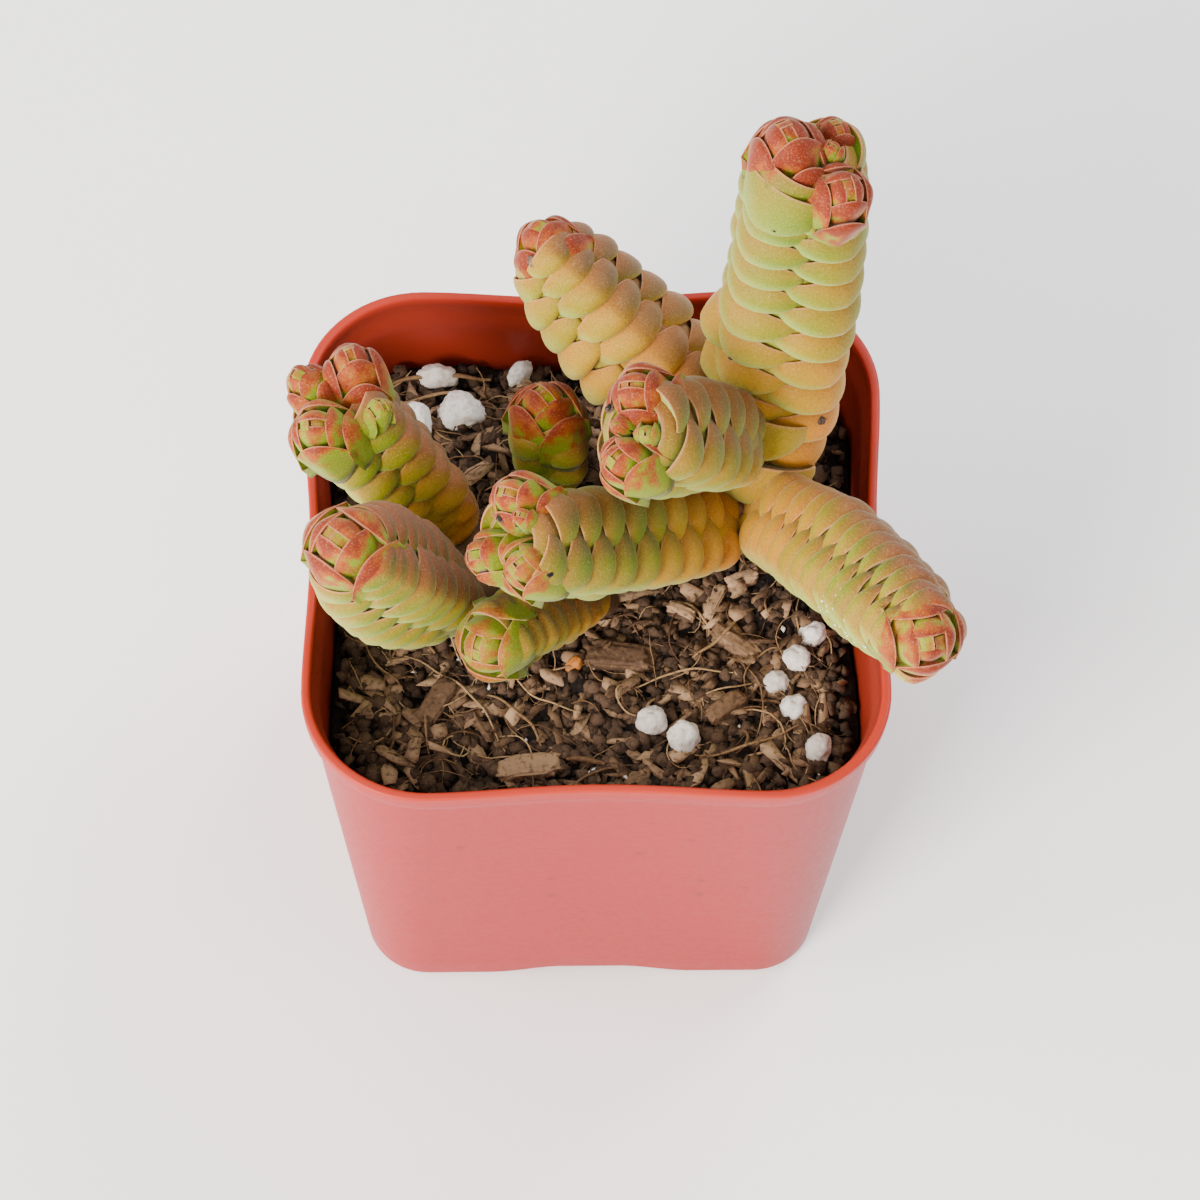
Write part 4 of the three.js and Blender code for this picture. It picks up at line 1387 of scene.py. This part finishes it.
@dataclass
class Gathering:
    """Copies of one closed shape, each bent and placed in its own way, that make up one piece."""

    faces: Sequence[Face]
    parts: list[np.ndarray] = field(default_factory=list)
    tones: list[float] = field(default_factory=list)

    def add(self, points: np.ndarray, tone: float) -> None:
        """Adds one copy by its points in millimetres, and its shade."""
        self.parts.append(points)
        self.tones.append(tone)

    def build(self, name: str, finish: GritFinish, slot: str, nodes: Sequence[str] = ()) -> None:
        """Joins the copies into a finished piece.

        Args:
            name: name of the piece.
            finish: what it is made of.
            slot: the record's material slot.
            nodes: the frame's nodes that it replaces.
        """
        size = len(self.parts[0])
        faces = [tuple(k + i * size for k in face) for i in range(len(self.parts)) for face in self.faces]
        piece = mesh_object(name, np.concatenate(self.parts) * MM, faces, finish.material(),
                            {"seed": np.repeat(self.tones, size)})
        finish_piece(piece, slot, nodes)


@dataclass
class Grains:
    """The larger perlite grains and bark chips that lie in the mix."""

    perlite: Sequence[Row] = (
        (5.6, -15.6, 1.7, 1.5, 1.5, 20), (8.6, -17.4, 1.8, 1.7, 1.6, 70), (19.4, -13.9, 1.6, 1.4, 1.3, 40),
        (17.8, -11.0, 1.4, 1.3, 1.2, 10), (19.9, -8.6, 1.4, 1.5, 1.3, 60), (21.4, -5.8, 1.6, 1.3, 1.2, 30),
        (21.6, -18.4, 1.7, 1.5, 1.3, 80), (-12.8, 19.7, 2.5, 2.2, 2.1, 15), (-17.2, 18.4, 1.5, 2.2, 1.7, 20),
        (-15.2, 23.6, 2.2, 1.4, 1.7, 5), (-6.9, 23.9, 1.6, 1.1, 1.3, 50))
    bark: Sequence[Row] = (
        (-6.4, -20.4, 3.4, 1.3, 0.9, 3), (2.4, -8.6, 3.8, 1.6, 1.0, -8), (12.9, -14.2, 2.4, 1.0, 0.9, 40),
        (-15.4, -13.2, 3.0, 1.2, 0.9, 62), (13.9, -6.6, 3.0, 1.0, 0.9, -35),
        (-20.2, 12.0, 2.8, 1.1, 0.9, -70))
    splinters: Sequence[Row] = (
        (14.7, 0.4, 1.9, 0.8, 0.9, 15), (12.0, -2.2, 2.2, 0.7, 0.8, 62), (8.6, -3.6, 1.6, 0.6, 0.7, -30))
    bark_tones: Row = (0.8, 0.35, 0.5, 0.45, 0.6, 0.3, 0.95, 0.9, 0.85)

    @staticmethod
    def ball(levels: int) -> tuple[np.ndarray, list[Face]]:
        """A unit ball of even triangles.

        Args:
            levels: how often its faces are split.

        Returns:
            Its points and faces.
        """
        shell = bmesh.new()
        bmesh.ops.create_icosphere(shell, subdivisions=levels, radius=1)
        points = np.array([v.co[:] for v in shell.verts])
        faces = [tuple(v.index for v in f.verts) for f in shell.faces]
        shell.free()
        return points, faces

    def build(self) -> None:
        """Makes the perlite and the bark pieces."""
        unit, faces = self.ball(4)
        grains, chips = Gathering(faces), Gathering(faces)
        for i, (x, y, a, b, c, turn) in enumerate(self.perlite):
            swell, pits = Vector((i * 2.3, 0, 0)), Vector((0, i * 1.7, 0))
            rough = np.array([1 + 0.22 * noise.noise(Vector(p * 1.6) + swell)
                              - 0.16 * abs(noise.noise(Vector(p * 4.0) + pits)) for p in unit])
            local = unit * rough[:, None] * np.array([a, b, c]) * 0.97
            level, tone = float(soil_height(x, y)) + 0.25 * c, 0.35 + 0.6 * ((i * 0.37) % 1)
            grains.add(laid(local, (x, y, level), turn), tone)
        names = [f"perlite_{i + 1}" for i in range(len(self.perlite))]
        grains.build("perlite_grains", PERLITE, "perlite", names)
        box = np.sign(unit) * np.abs(unit) ** 0.45
        for i, (x, y, a, b, c, turn) in enumerate([*self.bark, *self.splinters]):
            # shallow folds and fine splits, both drawn out along the grain
            split = np.array([
                0.18 * noise.noise(Vector((p[0] * 1.3, p[1] * 5.0, p[2] * 2.0 + i)))
                + 0.10 * noise.noise(Vector((p[0] * 3.5 + i, p[1] * 13.0, p[2] * 6.0))) for p in unit])
            local = box * np.array([a, b, c]) * (0.9 + split[:, None])
            local[:, 1] += 0.25 * b * np.sin(1.4 * unit[:, 0] + i)
            chips.add(laid(local, (x, y, float(soil_height(x, y)) + 0.2), turn), self.bark_tones[i])
        chips.build("bark_pieces", CHIPS, "bark", [f"bark_{i + 1}" for i in range(len(self.bark))])


@dataclass
class Stems:
    """The short corky stems that carry the shoots: limbs given by x, y, z and radius at each station."""

    steps: int = 16
    easings: int = 6
    limbs: dict[str, Sequence[Sequence[Row]]] = field(default_factory=lambda: {
        "stem_main": [
            [(14.2, 4.6, 33.0, 2.4), (14.6, 5.4, 42.0, 2.5), (15.2, 7.0, 46.5, 2.8), (17.1, 11.2, 52.5, 1.8)],
            [(14.8, 6.2, 44.5, 2.2), (11.4, 1.6, 49.0, 1.7), (9.2, 0.1, 51.2, 1.4)],
            [(15.2, 6.4, 44.5, 2.2), (17.9, 2.4, 49.3, 1.7), (19.2, 0.3, 51.2, 1.4)],
            [(15.0, 7.4, 46.0, 2.2), (11.4, 12.0, 51.4, 1.7), (9.0, 14.0, 53.2, 1.4)]],
        "stem_left": [
            [(-9.0, -0.6, 33.0, 2.2), (-9.6, -0.6, 41.5, 2.3), (-11.6, -3.0, 44.8, 1.9),
             (-15.2, -5.8, 49.0, 1.4)],
            [(-9.8, -0.4, 41.5, 2.1), (-12.2, 3.0, 44.6, 1.7), (-15.6, 5.1, 48.6, 1.3)]],
        "stem_low": [
            [(1.6, -1.6, 34.0, 1.6), (1.2, -2.0, 41.5, 1.6), (-0.4, -3.9, 45.4, 1.4),
             (-2.4, -5.8, 47.3, 1.1)]],
        "stem_small": [[(-3.2, 11.4, 34.0, 1.6), (-3.5, 11.8, 42.5, 1.5), (-3.8, 12.5, 45.6, 1.2)]]})

    def build(self) -> None:
        """Runs a thickness along every limb, with rings and cork worked into it."""
        material = STEM.material()
        for name, limbs in self.limbs.items():
            runs = []
            for limb in limbs:
                stations = np.array(limb)
                fine = np.linspace(0, len(stations) - 1, self.steps * (len(stations) - 1) + 1)
                path = np.stack([np.interp(fine, range(len(stations)), stations[:, k]) for k in range(4)], -1)
                for _ in range(self.easings):
                    path[1:-1] = (path[:-2] + 2 * path[1:-1] + path[2:]) / 4
                # old leaf scars ring the cork
                rings = 0.97 + 0.05 * np.sin(2.6 * np.arange(len(path)))
                runs.append((path[:, :3], path[:, 3] * rings, 0.5))
            finish_piece(strand_piece(name + "_cork", runs, 20, material), "stem", [name])


@dataclass
class Marks:
    """Callus where leaves broke off, a dead leaf, wax dust, and an amber crumb on the soil below."""

    scars: Sequence[Row] = (
        (16.6, 12.3, 86.9, -0.3, -0.9, 0.1, 0.22, 0.1), (20.6, 16.2, 91.0, 0.2, -0.2, 1.0, 0.5, 0.3),
        (13.0, 9.6, 68.2, -0.6, -0.7, -0.2, 0.28, 0.5), (22.0, 7.2, 60.2, 0.4, -0.6, 0.6, 0.42, 0.55),
        (1.1, 0.7, 74.1, -0.7, 0.0, 0.7, 0.42, 0.1), (-5.6, 21.6, 66.0, -0.4, -0.8, 0.5, 0.7, 0.7),
        (-9.3, -8.5, 69.2, -0.6, -0.5, 0.6, 0.36, 0.1), (-10.6, -12.2, 65.5, 0.1, -1.0, -0.1, 0.5, 0.12),
        (-4.6, -14.0, 68.1, 0.4, -0.6, 0.7, 0.4, 0.05))
    ring_tone: float = 0.66
    dead: Row = (12.4, 2.6, 50.6, 3.0, 1.3, 0.6, 15)
    crumb: Row = (-2.0, -9.2, 41.4, 0.95, 0.8, 0.8, 30)
    dusted: Row = (22.6, -16.6, 63.4, 4.6)
    specks: int = 170
    seed: int = 31

    @staticmethod
    def turned(normal: Vector) -> np.ndarray:
        """Rotation that stands z on a normal."""
        return np.array(normal.to_track_quat("Z", "Y").to_matrix())

    def lump(self, name: str, row: Row, finish: GritFinish, slot: str) -> None:
        """Makes one wrinkled flake or crumb.

        Args:
            name: name of the piece.
            row: its place, half sizes and turn.
            finish: what it is made of.
            slot: the record's material slot.
        """
        unit, faces = Grains.ball(3)
        x, y, z, a, b, c, turn = row
        folds = np.array([0.3 * noise.noise(Vector((p[0] * 1.4, p[1] * 3.0, p[2] + c))) for p in unit])
        local = unit * np.array([a, b, c]) * (0.9 + folds[:, None])
        local[:, 2] += 0.35 * c * np.sin(2.2 * unit[:, 0])
        points = laid(local, (x, y, z), turn)
        finish_piece(mesh_object(name, points * MM, faces, finish.material(), {"seed": 0.5 + folds}), slot)

    def build(self, dusty: bpy.types.Object) -> None:
        """Makes every mark.

        Args:
            dusty: the shoot that carries the wax dust.
        """
        unit, faces = Grains.ball(2)
        scars, dust = Gathering(faces), Gathering(faces)

        def bead(at: Vector, normal: Vector, size: Row) -> np.ndarray:
            """A flattened uneven bead that lies on a surface."""
            rough = np.array([1 + 0.55 * noise.noise(Vector(p * 1.5) + at) for p in unit])
            return (unit * rough[:, None] * size) @ self.turned(normal).T + np.array(at)

        for x, y, z, a, b, c, r, tone in self.scars:
            at, normal = Vector((x, y, z)), Vector((a, b, c)).normalized()
            scars.add(bead(at - normal * 0.12, normal, (1.3 * r, 1.15 * r, 0.4 * r)), self.ring_tone)
            scars.add(bead(at, normal, (0.9 * r, 0.75 * r, 0.5 * r)), tone)
        scars.build("scar_marks", SCAR, "stem")
        random = np.random.default_rng(self.seed)
        near = [v for v in dusty.data.vertices
                if (v.co / MM - Vector(self.dusted[:3])).length < self.dusted[3] and v.normal.z < 0.45]
        for k in random.choice(len(near), self.specks):
            size = random.uniform(0.04, 0.13)
            dust.add(bead(near[k].co / MM, near[k].normal, (size, 0.8 * size, 0.5 * size)), random.random())
        dust.build("wax_dust", WAX, "leaf")
        self.lump("dead_leaf", self.dead, DRY, "leaf")
        self.lump("amber_crumb", self.crumb, AMBER, "bark")


SHOOTS = (
    Shoot("shoot_tall", ((16.7, 10.2, 48.2, 6.3), (18.8, 15.0, 71.0, 6.9), (20.2, 18.3, 88.4, 6.0)), 45,
          (Head((18.3, 17.8, 86.0), (17.8, 19.2, 94.0), 4.4, 20, 1.0),
           Head((22.0, 15.2, 86.4), (23.6, 13.3, 92.6), 3.5, 60, 1.0),
           Head((20.4, 14.6, 87.4), (20.2, 13.4, 90.4), 1.5, 20, 0.4, 2),
           Head((21.8, 18.4, 88.4), (22.2, 18.4, 92.2), 1.7, 70, 0.5, 2),
           Head((21.6, 20.2, 85.0), (22.8, 21.4, 91.0), 3.4, 35, 0.9)),
          (1.0, 0.85, 0.4, 0.2, 0.1), (0.35, 0.3, 0.2, 0.15), (1.1, 1.0), girth=0.95, seed=11, leaflets=(
              Leaflet(0.87, -44, 0.2, (6.0, 6.4, 7.0), 0, 0.1, 0.0, LeafShape.LAST),
              Leaflet(0.16, -18, 0.7, (6.4, 7.6, 9.0), 4, 0.8, 0.0, LeafShape.BODY_B),
              Leaflet(0.05, -10, 0.8, (6.8, 8.4, 9.0), 6, 0.9, 0.0, LeafShape.BODY_A),
              Leaflet(-0.05, -12, 0.6, (7.0, 8.6, 9.0), 8, 1.0, 0.0, LeafShape.BODY_C),
              Leaflet(0.36, -95, 0.7, (6.2, 6.0, 7.5), 4, 1.0, 0.0, LeafShape.BODY_B),
              Leaflet(0.27, -80, 0.7, (6.2, 6.0, 7.5), 4, 1.0, 0.0, LeafShape.BODY_C))),
    Shoot("shoot_front", ((12.9, 5.4, 58.8, 5.2), (8.9, 2.3, 65.8, 6.0), (4.4, -1.1, 72.6, 5.7)), 55,
          (Head((5.9, 2.0, 70.6), (3.0, 1.5, 76.8), 4.0, 40, 0.75),
           Head((4.6, -3.4, 69.8), (1.4, -5.2, 74.4), 3.5, 60, 0.5),
           Head((5.2, -1.8, 72.6), (4.4, -3.0, 75.6), 1.9, 20, 0.25, 2),
           Head((3.6, -1.2, 73.0), (1.4, -1.8, 75.2), 1.4, 50, 0.7, 2)),
          (0.5, 0.35, 0.25, 0.22), (0.75, 0.85, 0.85), (1.15, 1.05), seed=12),
    Shoot("shoot_back", ((11.9, 11.6, 51.0, 6.6), (3.6, 18.4, 57.2, 6.2), (-4.0, 23.9, 63.2, 4.9)), 6,
          (Head((-2.6, 23.0, 62.0), (-5.8, 25.6, 66.8), 4.0, 30, 1.0),),
          (1.0, 0.8, 0.55, 0.5), (0.6, 0.8, 1.0), (1.15, 1.0), seed=13),
    Shoot("shoot_left", ((12.0, 2.0, 48.4, 4.7), (2.3, -4.6, 57.9, 5.6), (-6.7, -9.5, 66.4, 5.7)), 47,
          (Head((-5.4, -6.2, 65.4), (-8.8, -6.6, 71.2), 3.5, 20, 0.55),
           Head((-5.0, -11.4, 64.2), (-7.8, -13.4, 69.0), 3.3, 50, 0.35),
           Head((-7.6, -9.6, 63.6), (-12.0, -11.0, 66.4), 3.1, 10, 0.4),
           Head((-6.0, -8.6, 67.4), (-7.4, -9.2, 71.2), 1.7, 30, 0.4, 2)),
          (0.95, 0.65, 0.22, 0.2, 0.25), (0.2, 0.35, 0.6, 0.8), (1.2, 1.15), seed=14),
    Shoot("shoot_right", ((17.7, 2.8, 48.9, 5.1), (23.8, -7.3, 58.3, 5.8), (30.1, -20.6, 67.9, 4.9)), 48,
          (Head((29.5, -19.3, 66.5), (31.2, -23.3, 71.0), 4.2, 48, 0.65),),
          (0.75, 0.95, 0.45, 0.25, 0.45), (0.35, 0.85, 1.1), (1.1, 0.66), seed=15),
    Shoot("shoot_outer", ((-14.4, -5.2, 47.4, 5.1), (-19.6, -8.8, 58.4, 6.1), (-23.2, -10.7, 66.6, 5.5)), 4,
          (Head((-22.8, -10.5, 65.4), (-25.0, -11.6, 71.4), 4.6, 4, 0.6),),
          (0.4, 0.2, 0.1, 0.2), (1.05, 1.15, 1.15), (1.05, 0.8), seed=16),
    Shoot("shoot_rear", ((-14.4, 4.8, 46.9, 4.4), (-19.8, 6.2, 54.9, 5.2), (-24.4, 7.4, 61.6, 5.5)), 35,
          (Head((-25.0, 8.6, 60.4), (-29.0, 9.9, 65.2), 3.0, 20, 0.65),
           Head((-24.8, 4.6, 60.6), (-27.4, 3.4, 66.8), 3.7, 40, 0.42),
           Head((-22.6, 9.2, 60.0), (-23.5, 11.2, 67.4), 3.7, 10, 0.85),
           Head((-21.4, 5.6, 62.4), (-20.4, 5.8, 66.4), 2.0, 60, 0.2, 1)),
          (1.0, 0.5, 0.25, 0.15), (0.9, 1.05, 1.0), (1.15, 1.05), seed=17),
    Shoot("shoot_low", ((-1.0, -4.5, 46.0, 3.5), (-5.6, -8.7, 50.3, 4.0), (-9.6, -12.9, 53.7, 4.3)), 53,
          (Head((-8.8, -12.1, 52.6), (-11.6, -15.4, 56.2), 4.0, 53, 0.3),),
          (0.85, 0.45, 0.15), (0.9, 0.8, 0.5), (1.15, 0.9), seed=18),
    Shoot("shoot_small", ((-3.6, 12.0, 43.9, 4.4), (-4.0, 12.9, 46.4, 4.7), (-4.4, 13.9, 48.8, 4.5)), 30,
          (Head((-4.3, 13.6, 47.4), (-4.9, 15.0, 52.8), 4.1, 30, 0.65),),
          (0.3, 0.3), (0.9, 0.9), (1.0, 1.0), seed=19),
)


@dataclass
class Studio:
    """Camera at the photograph's place, a pale floor and soft light from above."""

    eye: Vector = field(default_factory=lambda: Vector((-13.70, -352.79, 673.50)) * MM)
    ahead: Vector = field(default_factory=lambda: Vector((0.0199, 0.4852, -0.8742)))
    right: Vector = field(default_factory=lambda: Vector((0.99916, -0.04099, 0.0)))
    roll: float = -0.029
    lens: float = 220.68
    sensor: float = 36.0
    sky: float = 1.15
    floor: float = 1.6

    def build(self) -> None:
        """Places the camera, the lights and the floor."""
        ahead, right = self.ahead.normalized(), self.right.normalized()
        up = right.cross(ahead)
        c, s = math.cos(self.roll), math.sin(self.roll)
        x, y = right * c - up * s, right * s + up * c
        camera = bpy.data.cameras.new("camera")
        camera.lens, camera.sensor_width, camera.clip_start = self.lens, self.sensor, 0.01
        holder = put("camera", camera)
        holder.matrix_world = Matrix.Translation(self.eye) @ Matrix((x, y, -ahead)).transposed().to_4x4()
        bpy.context.scene.camera = holder
        world = bpy.data.worlds.new("studio")
        bpy.context.scene.world = world
        world.use_nodes = True
        world.node_tree.nodes["Background"].inputs["Color"].default_value = srgb("FFFFFF")
        world.node_tree.nodes["Background"].inputs["Strength"].default_value = self.sky
        self.lamp("key", (-0.50, -0.62, 0.45), 19.0, "FFF8EE")
        self.lamp("side", (-0.75, -0.05, 0.36), 6.0, "FFFBF4")
        self.lamp("back", (0.40, 0.45, 0.65), 5.0, "F6F9FF")
        # a paper sweep is matt and nearly white, so it only shows the shadows
        paper, new, place = open_material("matt white paper")
        tooth = new("ShaderNodeTexNoise", {"Vector": place, "Scale": 1 / (30 * MM)})
        colour = new("ShaderNodeMix", {0: tooth, 6: "FBFBFA", 7: "FFFFFF"}, **PAINT)
        close_material(new, {"Base Color": colour, "Roughness": 0.9, "Specular IOR Level": 0.1})
        corners = [(-1, -1, 0), (1, -1, 0), (1, 1, 0), (-1, 1, 0)]
        floor = mesh_object("floor", np.array(corners) * self.floor, [(0, 1, 2, 3)], paper)

    @staticmethod
    def lamp(name: str, at: Row, power: float, tint: str) -> None:
        """Adds a square soft light that looks at the plant.

        Args:
            name: the light's name.
            at: its place in metres.
            power: its strength in watts.
            tint: its colour.
        """
        light = bpy.data.lights.new(name, "AREA")
        light.size, light.energy, light.color = 0.4, power, srgb(tint)[:3]
        place = Vector(at)
        aim = (Vector((0, 0, 0.05)) - place).to_track_quat("-Z", "Y")
        put(name, light).matrix_world = Matrix.Translation(place) @ aim.to_matrix().to_4x4()


def main() -> None:
    """Builds the studio and the plant from the pot upward."""
    logging.basicConfig(level=logging.INFO, format="%(name)s %(message)s")
    Studio().build()
    pot = Pot()
    pot.build(PotFinish().material())
    Soil(pot).build()
    Grains().build()
    Stems().build()
    library = LeafLibrary()
    shapes, group, skin = library.build(), Scatter.on_points(), LeafFinish().material()
    made = {shoot.name: shoot.build(shapes, library.pitch, group, skin) for shoot in SHOOTS}
    Marks().build(made["shoot_right"])


if __name__ == "__main__":
    main()
